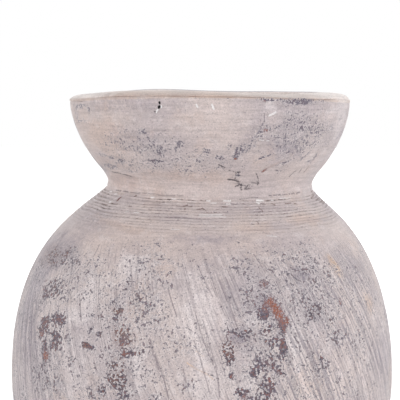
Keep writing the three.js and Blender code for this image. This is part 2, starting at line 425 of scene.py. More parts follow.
def outside_points(angle, down):
    """Places on the finished outside, in mm."""
    outline = outside_at(down)
    step = 0.4
    ahead = outside_at(down + step) - outside_at(down - step)
    ahead = ahead / np.linalg.norm(ahead, axis=-1, keepdims=True)
    plain = round_axis(angle, outline[..., 0], outline[..., 1])
    proud = relief(plain, down)
    radius = outline[..., 0] - ahead[..., 1] * proud
    height = outline[..., 1] + ahead[..., 0] * proud
    return warp(sag(round_axis(angle, radius, height)))


# Places in the photograph

def in_photo(points):
    """Pixel column and row of points given in mm."""
    pitch = math.radians(CAMERA_PITCH)
    x = points[..., 0] - CAMERA_SIDE
    y = points[..., 1] + CAMERA_DISTANCE
    z = points[..., 2] - CAMERA_HEIGHT
    depth = y * math.cos(pitch) - z * math.sin(pitch)
    up = y * math.sin(pitch) + z * math.cos(pitch)
    focal = CAMERA_LENS / SENSOR * PHOTO_SIDE
    return np.stack([PHOTO_SIDE / 2 + focal * x / depth, PHOTO_SIDE / 2 - focal * up / depth], axis=-1)


def plain_points(angle, down):
    """Places on the outside without its relief, in mm."""
    outline = outside_at(down)
    return warp(round_axis(angle, outline[..., 0], outline[..., 1]))


SEARCH_ANGLES = FRONT + np.radians(np.linspace(-75, 75, 151))
SEARCH_DOWN = np.linspace(4 - COLLAR_LENGTH, SHOULDER_LENGTH + 20, 160)
SEARCH_PIXELS = in_photo(plain_points(*np.meshgrid(SEARCH_ANGLES, SEARCH_DOWN)))


def surface_at(px, row):
    """Angle round the axis, and distance down, of the point of the vase that shows at a pixel."""
    gap = np.hypot(SEARCH_PIXELS[..., 0] - px, SEARCH_PIXELS[..., 1] - row)
    nearest = np.unravel_index(gap.argmin(), gap.shape)
    place = np.array([SEARCH_ANGLES[nearest[1]], SEARCH_DOWN[nearest[0]]])
    step = np.array([0.002, 0.2])  # radians and mm
    for _ in range(5):
        here = in_photo(plain_points(*place))
        moved = [in_photo(plain_points(*(place + step * axis))) for axis in np.eye(2)]
        slopes = [(there - here) / size for there, size in zip(moved, step)]
        place = place + np.linalg.lstsq(np.array(slopes).T, np.array([px, row]) - here, rcond=None)[0]
    return place


# Wear

class Patch(NamedTuple):
    """A worn, stained or clean place of the outside, by its middle and its half sizes."""

    kind: str
    angle: float  # radians round the axis
    down: float  # distance down from the seat of the collar
    across: float
    along: float
    strength: float
    tilt: float  # degrees clockwise from upright


# The places that the photograph shows: the column and row of the middle in pixels, the half sizes across and
# along in mm as seen, the strength where it isn't 1, and the tilt in degrees where there is one
WORN_MARKS = {
    "left shoulder wear": (60, 258, 19, 11, 0.85),
    "left shoulder core": (53, 256, 8, 8, 0.9),
    "left flecks": (52, 289, 12, 11, 0.92),
    "left flecks below": (63, 300, 7, 4, 0.7),
    "left dense wear": (44, 325, 6, 10, 1.12),
    "left dense wear beside": (58, 321, 9, 5, 1.1),
    "left dense wear tail": (56, 338, 7, 9, 1.05),
    "left column": (44, 352, 4, 13, 0.95),
    "left low wear": (46, 378, 18, 14, 0.74),
    "round dark spot": (86, 345, 3.4, 3.2, 1.15),
    "dark spot beside": (91, 348, 5, 2.4, 1.3),
    "arc left": (90, 330, 2.4, 3.6),
    "arc middle": (99, 334, 6, 1.8, 0.84),
    "arc right": (108, 328, 4, 3, 0.7),
    "link above the arc": (96, 317, 15, 1.4, 0.85),
    "brown spot high": (117, 311, 5, 3, 0.95),
    "tall patch high": (116, 319, 8, 4, 0.85),
    "tall patch right": (141, 323, 9, 3, 0.72),
    "tall patch head": (124, 330, 11, 6, 0.85),
    "tall patch heart": (123, 341, 9, 9, 0.82),
    "tall patch foot": (128, 354, 9, 6, 0.92),
    "column head": (118, 366, 13, 4.5, 0.88),
    "column heart": (117, 381, 12, 9, 0.92),
    "column foot": (124, 395, 9, 6, 0.9),
    "column left": (102, 391, 6, 6, 0.88),
    "column right": (152, 398, 6, 4, 0.8),
    "upper left specks": (105, 273, 9, 4, 0.6),
    "upper left specks below": (111, 284, 6, 4, 0.55),
    "middle specks": (116, 302, 8, 5, 0.78),
    "middle specks right": (129, 297, 4, 6, 0.5),
    "long mark": (127, 285, 1.8, 3.8, 0.95),
    "long mark tail": (134, 297, 2, 4, 0.7, -20),
    "centre specks high": (150, 262, 16, 9, 0.66),
    "centre specks": (162, 276, 15, 8, 0.62),
    "centre specks dense": (171, 285, 4, 4, 0.6),
    "centre low specks": (161, 327, 12, 5, 0.66),
    "centre low specks right": (181, 327, 7, 3, 0.55),
    "centre low scatter": (180, 345, 18, 12, 0.64),
    "centre foot specks": (186, 385, 10, 10, 0.64),
    "shoulder specks": (150, 243, 22, 6, 0.56),
    "shoulder specks right": (240, 239, 9, 5, 0.52),
    "right of centre wear": (242, 266, 12, 9, 0.68),
    "right of centre flecks": (252, 284, 11, 11, 0.7),
    "specks over the rust": (248, 250, 7, 2, 0.7, 60),
    "right shoulder flecks": (292, 256, 12, 6, 0.74),
    "right shoulder flecks low": (306, 268, 14, 8, 0.8),
    "right shoulder flecks under": (316, 282, 11, 7, 0.74),
    "dark by the rust": (264, 314, 8, 7),
    "dark under the rust": (282, 327, 3, 6, 1.1),
    "dark heart high": (268, 329, 8, 5, 0.92),
    "dark heart": (273, 342, 8, 7, 0.98),
    "dark heart right": (283, 348, 4, 7, 1.15),
    "dark heart low": (274, 357, 9, 4, 0.92),
    "blue patch wear": (243, 333, 9, 6, 0.86),
    "blue patch left": (230, 332, 6, 3, 0.85),
    "blue patch head": (249, 329, 4, 3, 0.8),
    "brown patch": (227, 350, 6, 9, 0.9),
    "brown patch low": (231, 360, 6, 5, 0.95),
    "low dense wear": (260, 367, 10, 6, 0.97),
    "low dense wear left": (246, 374, 5, 3.6, 0.8),
    "low dense wear right": (280, 360, 7, 5, 0.75),
    "slanting wear": (279, 371, 4, 12, 1, -52),
    "foot wear": (269, 386, 8, 8),
    "foot wear low": (262, 397, 8, 4),
    "foot right specks": (288, 380, 7, 9, 0.6),
    "foot rust spot wear": (231, 376, 2, 2, 1.2),
    "foot dark": (241, 392, 5, 4, 1.1),
    "right wear high": (306, 300, 9, 6, 0.8),
    "right wear": (314, 311, 10, 10, 0.92),
    "right wear middle": (329, 321, 8, 7, 0.8),
    "right wear low": (336, 337, 10, 7, 0.84),
    "right small dark": (325, 365, 6, 4.4, 0.88),
    "right small dark high": (322, 359, 3, 2),
    "right scatter": (318, 372, 11, 12, 0.64),
    "right edge flecks": (346, 262, 8, 6, 0.6),
    "right edge flecks low": (355, 276, 8, 8, 0.62),
    "right far flecks": (364, 305, 7, 10, 0.55),
    "left field high": (80, 280, 26, 22, 0.64),
    "left field": (54, 345, 20, 40, 0.66),
    "upper left field": (118, 290, 22, 26, 0.58),
    "tall field": (122, 355, 22, 45, 0.66),
    "heart field": (268, 345, 26, 50, 0.7),
    "rust field": (262, 300, 20, 22, 0.7),
    "right field": (312, 300, 30, 36, 0.66),
    "right field high": (296, 262, 32, 18, 0.64),
    "left loop high": (80, 106, 7, 2.4, 0.76),
    "left loop right": (88, 109, 2, 3.4, 0.8),
    "left loop side": (77, 115, 2.4, 5, 0.64),
    "left loop low": (83, 121, 7, 2, 0.72),
    "lone fleck": (98, 111, 3, 1.5, 0.8),
    "left middle specks": (122, 130, 8, 4, 0.55),
    "left middle specks right": (142, 131, 5, 4, 0.72),
    "left slanting specks": (127, 141, 10, 4, 0.5),
    "left slanting specks low": (140, 150, 7, 4, 0.7),
    "left dense specks": (159, 150, 4, 6, 0.8),
    "left dense specks high": (153, 142, 3, 4, 0.6),
    "left low dark": (156, 161, 9, 1.7, 0.9),
    "left edge dark": (102, 155, 6, 2.2, 0.72),
    "left edge dark right": (111, 158, 4, 1.8, 0.74),
    "left edge dark low": (109, 166, 7, 4, 0.75),
    "left foot dark": (122, 162, 6, 3, 0.78),
    "left foot dark right": (132, 171, 9, 3, 0.66),
    "left foot specks": (150, 163, 9, 3, 0.6),
    "centre cluster": (180, 144, 4, 3, 0.72),
    "centre cluster low": (178, 151, 2.4, 5, 0.72),
    "centre small cluster": (207, 152, 3, 4, 0.72),
    "centre high cluster": (199, 129, 4, 1.8, 0.78),
    "collar centre low specks": (190, 160, 16, 3, 0.6),
    "collar centre foot specks": (192, 171, 13, 2.4, 0.68),
    "centre foot specks right": (207, 178, 9, 2, 0.7),
    # Darker, flaked places under the lip
    "dark band under the lip": (303, 100.2, 17, 1.9, 0.9),
    "dark band under the lip low": (302, 102.4, 14, 1.8, 0.86),
    "dark band under the lip left": (272, 99.6, 14, 1.5, 0.85),
    "diagonal high": (260, 130, 5, 6, 0.8, 35),
    "diagonal": (249, 142, 5, 9, 0.8, 45),
    "diagonal low": (238, 152, 4, 7, 0.8, 35),
    "dark band under the lip centre": (226, 98.5, 30, 0.8, 0.5),
    "collar right field": (300, 136, 34, 19, 0.6),
    "collar left field": (132, 146, 34, 16, 0.56),
    "left foot field": (135, 164, 30, 6, 0.57),
    "centre field": (196, 162, 34, 12, 0.49),
    "right patch": (262, 126, 6, 6, 0.78),
    "right patch right": (269, 129, 3, 2.4, 0.9),
    "right patch low": (262, 137, 5, 2, 0.78),
    "right specks": (296, 126, 24, 7, 0.55),
    "right dark specks": (305, 128, 8, 2.6, 0.8),
    "right dark specks left": (279, 128, 5, 3, 0.75),
    "right slope dark high": (254, 143, 5, 2.4, 0.72, 60),
    "right slope dark": (246, 148, 5, 3.4, 0.75),
    "right slope dark left": (226, 147, 5, 3, 0.62),
    "right slope dark low": (236, 156, 4, 3, 0.76),
    "right slope foot": (218, 158, 3, 2, 0.85),
    "right low wear": (280, 151, 15, 3, 0.66),
    "right low wear left": (262, 158, 1.4, 8, 0.85, 65),
    "right low wear right": (286, 162, 1.4, 9, 0.72, 70),
    "right diagonal flecks": (306, 155, 1.4, 9, 0.72, 40),
    "right diagonal flecks low": (313, 158, 1.4, 8, 0.66, 40),
    "right small specks": (281, 172, 5, 3, 0.6),
    "dark by the crack": (237, 176, 3, 3, 0.85),
}
# Blue-grey thin wash; the marks named shade are painted shade
HAZE_MARKS = {
    "left shoulder": (51, 255, 14, 14, 1.05),
    "left edge of the shoulder": (38, 280, 8, 18, 0.7),
    "left low": (40, 366, 9, 14, 0.45),
    "left edge": (27, 325, 10, 36, 0.75),
    "right of centre": (250, 272, 13, 17, 0.3),
    "right shoulder": (303, 274, 7, 6, 0.9),
    "grey by the rust": (262, 304, 6, 9, 0.75),
    "blue patch": (240, 336, 6.5, 5.5, 1.1),
    "blue patch foot": (248, 346, 5, 9, 0.4),
    "right wear": (314, 312, 9, 9, 0.5),
    "right edge": (357, 272, 11, 14, 0.55),
    "right far": (383, 360, 9, 26, 0.55),
    "grey shoulder left": (95, 222, 14, 10, 0.4),
    "grey shoulder middle": (212, 239, 26, 3, 0.55),
    "grey under the combs": (280, 245, 20, 8, 0.35),
    "left edge of the belly": (22, 372, 6, 26, 0.4),
    "left haze low": (45, 270, 8, 10, 0.8),
    "right edge high": (371, 290, 5, 12, 0.45),
    "left grey": (128, 140, 16, 9, 0.4),
    "shade under the lip left": (120, 104, 34, 6, 0.4),
    "shade at the waist left": (122, 180, 12, 6, 0.3),
    "shade at the left foot": (104, 160, 9, 9, 0.3),
    "diagonal": (250, 140, 6, 17, 0.45, 38),
    "under the dark band": (306, 106, 30, 5, 0.36),
    "right field": (304, 136, 32, 18, 0.26),
    "right": (305, 128, 26, 7, 0.42),
    "right low": (286, 147, 20, 5, 0.6, 20),
    "collar right edge": (334, 135, 9, 20, 0.25),
}
RUST_MARKS = {
    "left rust high": (46, 281, 1.6, 1.6, 0.7),
    "left rust by the flecks": (44, 288, 1.8, 1.6, 0.8),
    "left rust in dense wear": (42, 334, 1.6, 1.8),
    "left rust beside": (59, 319, 2.6, 1.3, 0.8),
    "left rust under": (48, 325, 1.4, 1.6, 0.8),
    "left big": (45.5, 356, 2.8, 3.4, 1.1),
    "tall patch": (124, 340, 2.4, 4, 0.5),
    "tall patch rust low": (122, 345, 1.4, 1.6, 0.8),
    "streak head": (264, 284, 3.6, 3, 0.65),
    "streak top": (271, 301, 4.4, 4, 1, -35),
    "streak": (276, 309, 3.8, 8.5, 1.05, -24),
    "streak foot": (279, 316, 3, 3),
    "streak left": (266, 308, 3.6, 3.6, 0.72),
    "streak tail": (284, 328, 1.4, 4, 0.8, -8),
    "dot left": (255, 304, 1.2, 1.2, 0.9),
    "slanting": (277, 371, 1.1, 9, 0.8, -52),
    "foot": (270, 382, 1.2, 3.4, 0.9),
    "foot rust spot": (231, 376, 1.4, 1.4, 0.9),
    "foot dark": (244, 397, 2, 1.6, 0.7),
    "small rust right": (340, 301, 1, 3, 0.8),
    "right patch": (266, 130.5, 1.6, 1.2, 0.9),
    "right slope": (235.4, 158.7, 1.6, 0.9),
    "scratch": (264, 171, 0.9, 2.4, 1, 45),
    "dot under the lip": (264.6, 101.3, 1, 0.8),
}
BROWN_MARKS = {
    "left shoulder": (50, 255, 10, 9, 0.7),
    "in round spot": (86, 345, 2.4, 2.6, 0.9),
    "in spot high": (116, 311, 4.5, 2),
    "tall patch": (122, 338, 8, 9, 0.9),
    "column": (116, 369, 6, 8, 0.7),
    "patch tint": (226, 350, 6, 8, 0.6),
    "rust scratch trail": (272, 166, 1.2, 8, 0.8, 60),
}
OCHRE_MARKS = {
    "smear": (335, 264, 1.8, 8, 0.85, -32),
    "smear right": (338, 272, 2, 5, 0.7, -32),
    "warm right edge": (368, 302, 3, 7, 0.4, -20),
}
WARM_MARKS = {
    "shoulder right": (307, 219, 12, 5),
    "shoulder middle": (254, 228, 13, 5, 0.8),
    "shoulder left": (120, 226, 26, 3, 0.9, 10),
    "left of centre": (140, 300, 5, 16, 0.7),
    "foot left": (90, 398, 10, 5, 0.8),
    "centre right": (165, 270, 8, 8, 0.6),
    "shoulder tint left": (110, 238, 50, 16, 0.4),
    "shoulder tint": (205, 244, 60, 16, 0.35),
    "waist left": (122, 181, 16, 7),
    "left edge": (84, 132, 9, 24, 0.7),
    "left foot": (104, 162, 12, 9, 0.8),
    "left": (103, 138, 16, 16),
    "centre foot": (190, 176, 24, 5, 0.6),
}
PALE_MARKS = {
    "clean left": (89, 298, 8, 18, 0.8),
    "clean left low": (75, 317, 8, 8, 0.9),
    "clean left foot": (78, 370, 8, 24, 0.5),
    "clean middle": (198, 318, 14, 24, 0.75),
    "clean middle foot": (205, 375, 12, 24, 0.7),
    "clean high": (130, 268, 6, 7, 0.8),
    "clean by the heart": (296, 339, 6, 13, 0.8),
    "clean between": (254, 320, 5, 5, 0.8),
    "clean foot right": (247, 385, 4, 4, 0.7),
    "clean column side": (137, 372, 5, 16, 0.6),
    "by the lip": (271, 104, 3, 3.4, 0.8),
    # The next three are painted highlights along the collar's lit edges
    "by the edge": (332, 111, 4, 2, 0.8),
    "left edge": (72, 118, 4, 22, 0.6),
    "right edge": (342, 114, 4, 18, 0.6),
}
CLEAN_MARKS = {
    "under the combs left": (125, 232, 40, 7, 0.4),
    "under the combs": (215, 232, 50, 8, 0.4),
    "top left": (128, 113, 30, 10),
    "top": (190, 112, 30, 12, 0.9),
    "top right": (236, 118, 18, 12, 0.8),
    "waist left": (140, 184, 40, 6, 0.9),
    "waist": (210, 186, 40, 5, 0.8),
    "waist right": (285, 182, 24, 7, 0.9),
    "by the diagonal": (268, 145, 5, 4, 0.8),
}
SCORED_MARKS = {
    "streaks right": (325, 330, 34, 60),
    "streaks far right": (360, 320, 34, 60, 1.2),
    "streaks low right": (320, 390, 40, 26, 1.2),
    "streaks left edge": (26, 350, 22, 46, 1.3),
    "streaks centre": (222, 300, 16, 34, 0.4),
}
MARKS = {
    "worn": WORN_MARKS,
    "haze": HAZE_MARKS,
    "rust": RUST_MARKS,
    "brown": BROWN_MARKS,
    "ochre": OCHRE_MARKS,
    "warm": WARM_MARKS,
    "pale": PALE_MARKS,
    "clean": CLEAN_MARKS,
    "scored": SCORED_MARKS,
}

# The thin lines that the photograph shows: width in mm, strength, and the column and row of each point
CRACKS = {
    "left shoulder of the waist": (0.9, 0.9, (112, 172), (118, 173), (126, 175), (131, 176.5)),
    "waist crack": (1, 0.9, (219, 165), (227, 169), (232, 171.5), (240, 172.5)),
    "crack low": (1.3, 1, (228, 179.5), (235, 180.3), (239.5, 182), (241, 185), (246, 186.5), (249, 186)),
    "waist crack branch": (1.1, 0.9, (236, 186.5), (240, 184.5), (241.5, 189.3)),
    "waist crack foot": (0.8, 0.8, (243, 189.8), (251, 188.5)),
    "waist crack rise": (0.7, 0.7, (235, 180), (236, 174), (240, 176)),
    "fine upright crack": (0.7, 0.9, (256.5, 174), (258, 178), (259, 181.5), (257.5, 185)),
    "fine level crack": (0.7, 0.7, (251.5, 183), (259, 183.5)),
    "seam left": (0.8, 0.65, (116, 190), (122, 190.8), (128, 191.6)),
    "seam centre left": (0.6, 0.45, (130, 192), (148, 193), (161, 194.8), (183, 195.5)),
    "seam right": (0.8, 0.65, (269, 195.6), (280, 194.8), (291, 193.8), (300, 192.3)),
    "seam centre right": (0.7, 0.5, (240, 199), (250, 197.5), (258, 197)),
    "right stroke left": (0.8, 0.8, (289, 177), (294, 172), (297, 170)),
    "right stroke middle": (0.8, 0.8, (299, 172.5), (301.5, 168.5)),
    "right stroke right": (0.8, 0.8, (304, 172), (308, 167)),
}
SCRATCHES = {
    "up the right patch": (0.6, 0.8, (264.5, 113), (264.5, 122)),
    "edge of the belly left": (1.4, 0.7, (25, 300), (22, 322), (20, 350), (19.5, 374)),
    "edge of the belly": (1.8, 0.9, (29, 301), (27, 322), (25.5, 350), (26, 384)),
    "edge of the belly right": (1.4, 0.8, (33, 305), (31.5, 335), (31, 360), (33, 393)),
    "edge of the belly high": (1.5, 1, (37, 300), (36, 312), (34, 322)),
    "edge of the belly foot": (1.4, 0.9, (37, 350), (36, 372), (39, 398)),
    "far left high": (0.8, 0.9, (100, 244), (97, 250), (94, 256)),
    "far left": (0.7, 0.6, (77, 243), (75, 246), (71, 254)),
    "left high": (0.6, 0.6, (77, 276), (75, 281)),
    "left": (0.8, 1, (80, 294), (80.5, 304), (81.5, 321)),
    "left low": (0.7, 0.8, (71, 320), (75, 331)),
    "left foot": (0.6, 0.7, (87, 354), (91, 369)),
    "left foot beside": (0.6, 0.6, (78.6, 364), (84, 383)),
    "left of centre high": (0.6, 0.5, (100, 287), (102, 304)),
    "tall left": (0.7, 0.6, (112, 352), (118, 378)),
    "left of centre": (0.8, 0.9, (143, 287), (150, 311)),
    "left of centre low": (0.7, 0.8, (148.6, 340), (159, 371)),
    "centre low": (0.9, 1, (150, 338.6), (164, 380), (168.6, 398.6)),
    "centre high": (0.8, 0.9, (168, 288.6), (177, 317)),
    "centre smear": (2.4, 0.55, (187, 283), (192, 298), (195, 312)),
    "centre long": (0.9, 0.9, (195, 312), (203, 340), (217, 373), (220, 398.6)),
    "centre long beside": (0.8, 0.7, (203, 320), (211, 348.6), (217, 368.6)),
    "centre foot": (0.8, 0.8, (194, 340), (201, 361), (210, 394)),
    "centre foot left": (0.7, 0.7, (183, 368.6), (190, 398.6)),
    "middle high": (0.7, 0.7, (197, 264), (213, 297)),
    "middle high beside": (0.6, 0.6, (201.4, 274), (208.6, 287)),
    "middle smear": (2, 0.7, (220, 281), (228.6, 301)),
    "middle": (0.8, 0.8, (228.6, 301), (237, 326)),
    "middle beside": (0.7, 0.7, (225.7, 277), (238.6, 311)),
    "right of centre high": (0.7, 0.6, (240, 251), (246, 260)),
    "right of centre": (0.8, 0.8, (254, 254), (266, 273)),
    "right of centre beside": (0.6, 0.6, (264, 260), (273, 274)),
    "by the rust": (0.8, 0.8, (276, 281), (286, 303), (297, 331), (304, 348.6)),
    "right of the rust": (0.8, 0.8, (290, 303), (306, 334), (314, 361)),
    "right high": (0.7, 0.7, (297, 294), (310, 320)),
    "right": (0.7, 0.7, (318.6, 301), (330, 323)),
    "right low": (0.8, 0.8, (307, 354), (318.6, 383), (321, 398.6)),
    "right low beside": (0.7, 0.7, (315.7, 363), (324, 384)),
    "far right low": (0.8, 0.7, (330, 348.6), (341, 368.6), (350, 397)),
    "far right": (0.9, 0.8, (340, 288.6), (353, 307), (364, 331), (368.6, 348.6)),
    "far right beside": (0.8, 0.7, (343, 314), (353, 340), (360, 368.6), (363, 394)),
    "right edge": (0.9, 0.6, (361, 320), (373, 345.7), (378.6, 368.6)),
    "by the heart": (0.7, 0.7, (285.7, 361), (297, 383)),
}
WHITE_LINES = {
    # The first two are painted highlights at the edges of the chips
    "under the chips": (1.1, 1, (157.8, 109.8), (156.2, 112)),
    "beside the chips": (0.9, 1, (161.4, 105.6), (161.3, 107.6)),
    "left of centre": (1.2, 0.9, (196.4, 104.6), (197.4, 107)),
    "centre": (1.2, 1, (212.2, 105), (213.6, 108.6)),
    "right smear": (1.3, 0.8, (269.5, 115.6), (271.5, 114.6), (275.6, 112.4)),
    "right of the chips": (0.6, 0.8, (259.5, 140), (264, 140.5)),
    "right of the chips end": (0.6, 0.8, (266.6, 140.8), (269, 140.6)),
    "combs dash": (0.9, 1, (207, 200.1), (210, 200.1)),
    "combs big": (1.2, 1, (224, 200.2), (230.2, 200.4)),
    "combs under the dash": (0.8, 0.7, (211, 202.5), (216, 202.5)),
    "combs under the big": (0.9, 0.8, (226.7, 203.5), (230.5, 203.5)),
    "combs right big": (1.2, 1, (257.3, 199.8), (263.4, 200.2)),
    "combs right under": (1.1, 1, (257, 202.2), (259.4, 202.8)),
    "combs right dot": (0.9, 0.8, (272, 199.5), (273.8, 199.4)),
    "combs far right": (0.6, 0.6, (280, 198.2), (291.6, 197.4)),
    "combs middle": (0.55, 0.7, (199, 214.1), (210, 214.4), (222, 214.3)),
    "combs middle low": (0.55, 0.7, (199, 216.4), (214, 216.3), (226, 216.8)),
    "combs left": (0.9, 0.9, (134, 212), (138.4, 212.2)),
    "combs left beside": (0.8, 0.6, (126, 211), (128.4, 211.1)),
    "combs left high": (1.1, 0.9, (115, 193.8), (117.2, 193.9)),
    "combs left corner": (0.9, 0.8, (109, 191.2), (111.5, 191.4)),
    "combs left low": (0.9, 0.9, (109, 201.3), (110.9, 201.5)),
    "combs left edge": (0.8, 0.7, (93.8, 199.3), (97, 200.5)),
    "combs centre left": (1.1, 0.9, (151.2, 196.8), (153.6, 196.8)),
    "combs centre": (0.8, 0.6, (172, 198.3), (175.6, 198.4)),
    "combs centre beside": (0.8, 0.7, (177.6, 199.4), (180.4, 199.5)),
    "under the combs": (0.5, 0.6, (171, 229.2), (180, 229.4)),
    "under the combs right": (0.6, 0.6, (267, 235.6), (277, 236.4)),
}
DASHES = {
    "squiggle left": (0.8, 0.9, (196.8, 209), (198.6, 208.8), (202.6, 207.9), (205.8, 209.8)),
    "squiggle right": (0.7, 0.7, (206.3, 211.9), (208.5, 212.6), (212, 212.4)),
    "squiggle end": (0.8, 0.8, (214.6, 212.3), (216.4, 211.8)),
    "knot": (1, 1, (181, 206.4), (184, 205.7), (187, 204.6)),
    "knot tail": (0.7, 0.7, (176, 205.3), (181, 206.4)),
    "knot beside": (1.2, 0.9, (189.3, 206), (191.8, 205.8)),
    "knot below": (1.2, 0.8, (185, 208.2), (185, 209.4)),
    "over the knot": (0.6, 0.7, (187.3, 202.3), (193, 202.2)),
    "groove left": (0.6, 0.7, (152.5, 201.6), (160.8, 202.3)),
    "groove left low": (0.6, 0.7, (150, 204.3), (156.4, 204.3), (161.8, 204.8)),
    "centre dash": (1.2, 0.9, (223, 206.5), (227, 206.5)),
    "left dot": (1.2, 0.9, (133.8, 195.8), (136, 195.2)),
    "left dot low": (1.2, 0.8, (129.4, 206.1), (131.2, 206.3)),
    "left dash": (1.1, 0.8, (111.4, 203.2), (116.5, 203.9)),
    "left edge dash": (1, 0.7, (101.5, 203.3), (106.6, 204.5)),
    "right dot": (1.3, 0.9, (273, 203.2), (275, 204.6)),
    "right dash": (1.2, 0.9, (285.3, 203.5), (290.8, 203)),
    "right dash beside": (1.1, 0.9, (294.3, 203.4), (296.2, 203.4)),
    "slanting scratch": (0.8, 0.8, (258.6, 206.8), (260.8, 208.6), (263, 210.8)),
    "slanting scratch low": (0.8, 0.7, (256.8, 220.6), (259, 223.3)),
    "edge stroke high": (1.1, 0.9, (311.8, 191.6), (313, 190)),
    "edge stroke": (1.1, 0.9, (311.4, 197.8), (314.2, 193.8)),
    "edge stroke middle": (1.1, 0.9, (316.4, 199.8), (318.8, 197.7)),
    "edge stroke beside": (1.1, 0.9, (320, 201.8), (321.8, 198.8)),
    "edge stroke low": (1.1, 0.9, (322.4, 203.4), (324.2, 201.2)),
    "lip mark left": (0.8, 0.8, (71.5, 100.3), (77, 100.8), (82.3, 101.3)),
}
# Chips: real pits, filled near-black with painted shade
CHIPS = {
    "high": (1.6, 1, (159.6, 102.5), (159.6, 102.9)),
    "low": (1.7, 1, (159.4, 106.6), (158.8, 107.6)),
    "foot": (1, 0.6, (154.6, 111.7), (155.4, 111.7)),
}
RED_PITS = {
    "combs left": (1.3, 1, (117, 200.3), (118.6, 198.8), (120.5, 197.2)),
}
OCHRE_THREADS = {
    "centre": (0.8, 0.8, (187, 363), (198, 370), (207, 374), (214, 380)),
    "centre high": (0.7, 0.7, (196, 351), (203, 356)),
}
LINES = {
    "crack": CRACKS,
    "scratch": SCRATCHES,
    "dash": DASHES,
    "white": WHITE_LINES,
    "chip": CHIPS,
    "red": RED_PITS,
    "thread": OCHRE_THREADS,
}


def seen_patch(kind, px, row, across, along, strength=1, tilt=0):
    """The patch that the photograph shows at a pixel. It is wider than it looks where it is seen aslant."""
    angle, down = surface_at(px, row)
    facing = max(math.cos(angle - FRONT), LEAST_FACING)
    return Patch(kind, angle, down, across / facing, along, strength, tilt)


def unseen_patches():
    """Wear of the same kinds where the photograph doesn't reach: the back, and the body below its edge."""
    rng = np.random.default_rng(UNSEEN_SEED)
    made = []
    kinds = ["worn", "worn", "worn", "haze", "rust", "brown", "pale", "warm"]
    photo_foot = surface_at(PHOTO_SIDE / 2, PHOTO_SIDE - 1)[1]
    for _ in range(UNSEEN_BODY_PATCHES):
        turn = rng.uniform(-math.pi, math.pi)
        down = rng.uniform(COMB_END + 4, WHOLE_DOWN[-1] - 6)
        kind = kinds[rng.integers(len(kinds))]
        across, along = rng.uniform(3, 13), rng.uniform(3, 13)
        strength = rng.uniform(0.45, 0.95) + (0.1 if kind == "worn" else 0)
        if kind == "rust":
            across, along = across / 4, along / 4
        if abs(turn) > math.radians(SEEN_TURN) or down > photo_foot + along:
            made.append(Patch(kind, FRONT + turn, down, across, along, strength, rng.uniform(-40, 0)))
        if kind == "worn" and (abs(turn) > math.radians(HIDDEN_TURN) or down > photo_foot + 3 * along):
            wide, tall = LOOSE_SPREAD * across, LOOSE_SPREAD * along
            made.append(Patch(kind, FRONT + turn, down, wide, tall, LOOSE_STRENGTH, 0))
    for _ in range(UNSEEN_COLLAR_PATCHES):
        turn = rng.uniform(math.radians(70), math.radians(290))
        down = rng.uniform(6 - COLLAR_LENGTH, -12)
        kind = kinds[rng.integers(len(kinds))]
        across, along = rng.uniform(3, 14), rng.uniform(1.5, 5)
        if kind == "rust":
            across, along = across / 5, along / 3
        strength = rng.uniform(0.5, 0.9)
        made.append(Patch(kind, FRONT + turn, down, across, along, strength, rng.uniform(-30, 60)))
    return made


PATCHES = [seen_patch(kind, *values) for kind, marks in MARKS.items() for values in marks.values()]
PATCHES += unseen_patches()


def side_steps(angle, down, place):
    """Steps from a place to points of the outside, in mm: to the right as seen from outside, and up."""
    turn = (angle - place[0] + math.pi) % (2 * math.pi) - math.pi
    return turn * outside_at(place[1])[0], place[1] - down


def painted(kind, points, angle, down):
    """How strong one kind of wear is at points of the outside, from the strongest patch at each point."""
    ragged = 1 + 0.4 * noise(points, 8, 21) + 0.3 * noise(points, 3.4, 22)
    total = np.zeros(angle.shape)
    for patch in PATCHES:
        if patch.kind != kind:
            continue
        right, up = side_steps(angle, down, (patch.angle, patch.down))
        tilt = math.radians(patch.tilt)
        across = (right * math.cos(tilt) - up * math.sin(tilt)) / patch.across
        along = (right * math.sin(tilt) + up * math.cos(tilt)) / patch.along
        reach = np.hypot(across, along) * ragged
        total = np.maximum(total, patch.strength * (1 - smooth(reach, 0.35, 1.7)))
    return total


def drawn(lines, angle, down):
    """Thin lines near points of the outside, by the nearest line: how many half widths a point is to its side
    and beyond its ends, and how strong that line is there."""
    nearest = np.full(angle.shape, LINE_REACH * 2.0)
    side = nearest.copy()
    beyond = nearest.copy()
    strength = np.zeros(angle.shape)
    for width, full, *pixels in lines.values():
        places = [surface_at(*pixel) for pixel in pixels]
        for start, end in zip(places, places[1:]):
            right, up = side_steps(angle, down, start)
            far_right, far_up = side_steps(end[0], end[1], start)
            length = math.hypot(far_right, far_up)
            along = (right * far_right + up * far_up) / length
            across = (right * far_up - up * far_right) / length
            past = np.maximum(0, np.maximum(-along, along - length))
            gap = np.hypot(across, past)
            closer = gap < nearest
            side = np.where(closer, across / (width / 2), side)
            beyond = np.where(closer, past / (width / 2), beyond)
            near = 1 - smooth(gap, LINE_REACH / 2, LINE_REACH)
            strength = np.where(closer, full * near, strength)
            nearest = np.minimum(gap, nearest)
    return side, beyond, strength


# Meshes

def column_angles(columns):
    """Angles round the axis, closer together at the front."""
    even = np.arange(columns) * 2 * math.pi / columns
    return even - CROWDING * np.sin(even - FRONT)


def steps_between(start, end, step):
    """Evenly spaced numbers from start to end, about a step apart."""
    return np.linspace(start, end, max(2, round(abs(end - start) / step) + 1))


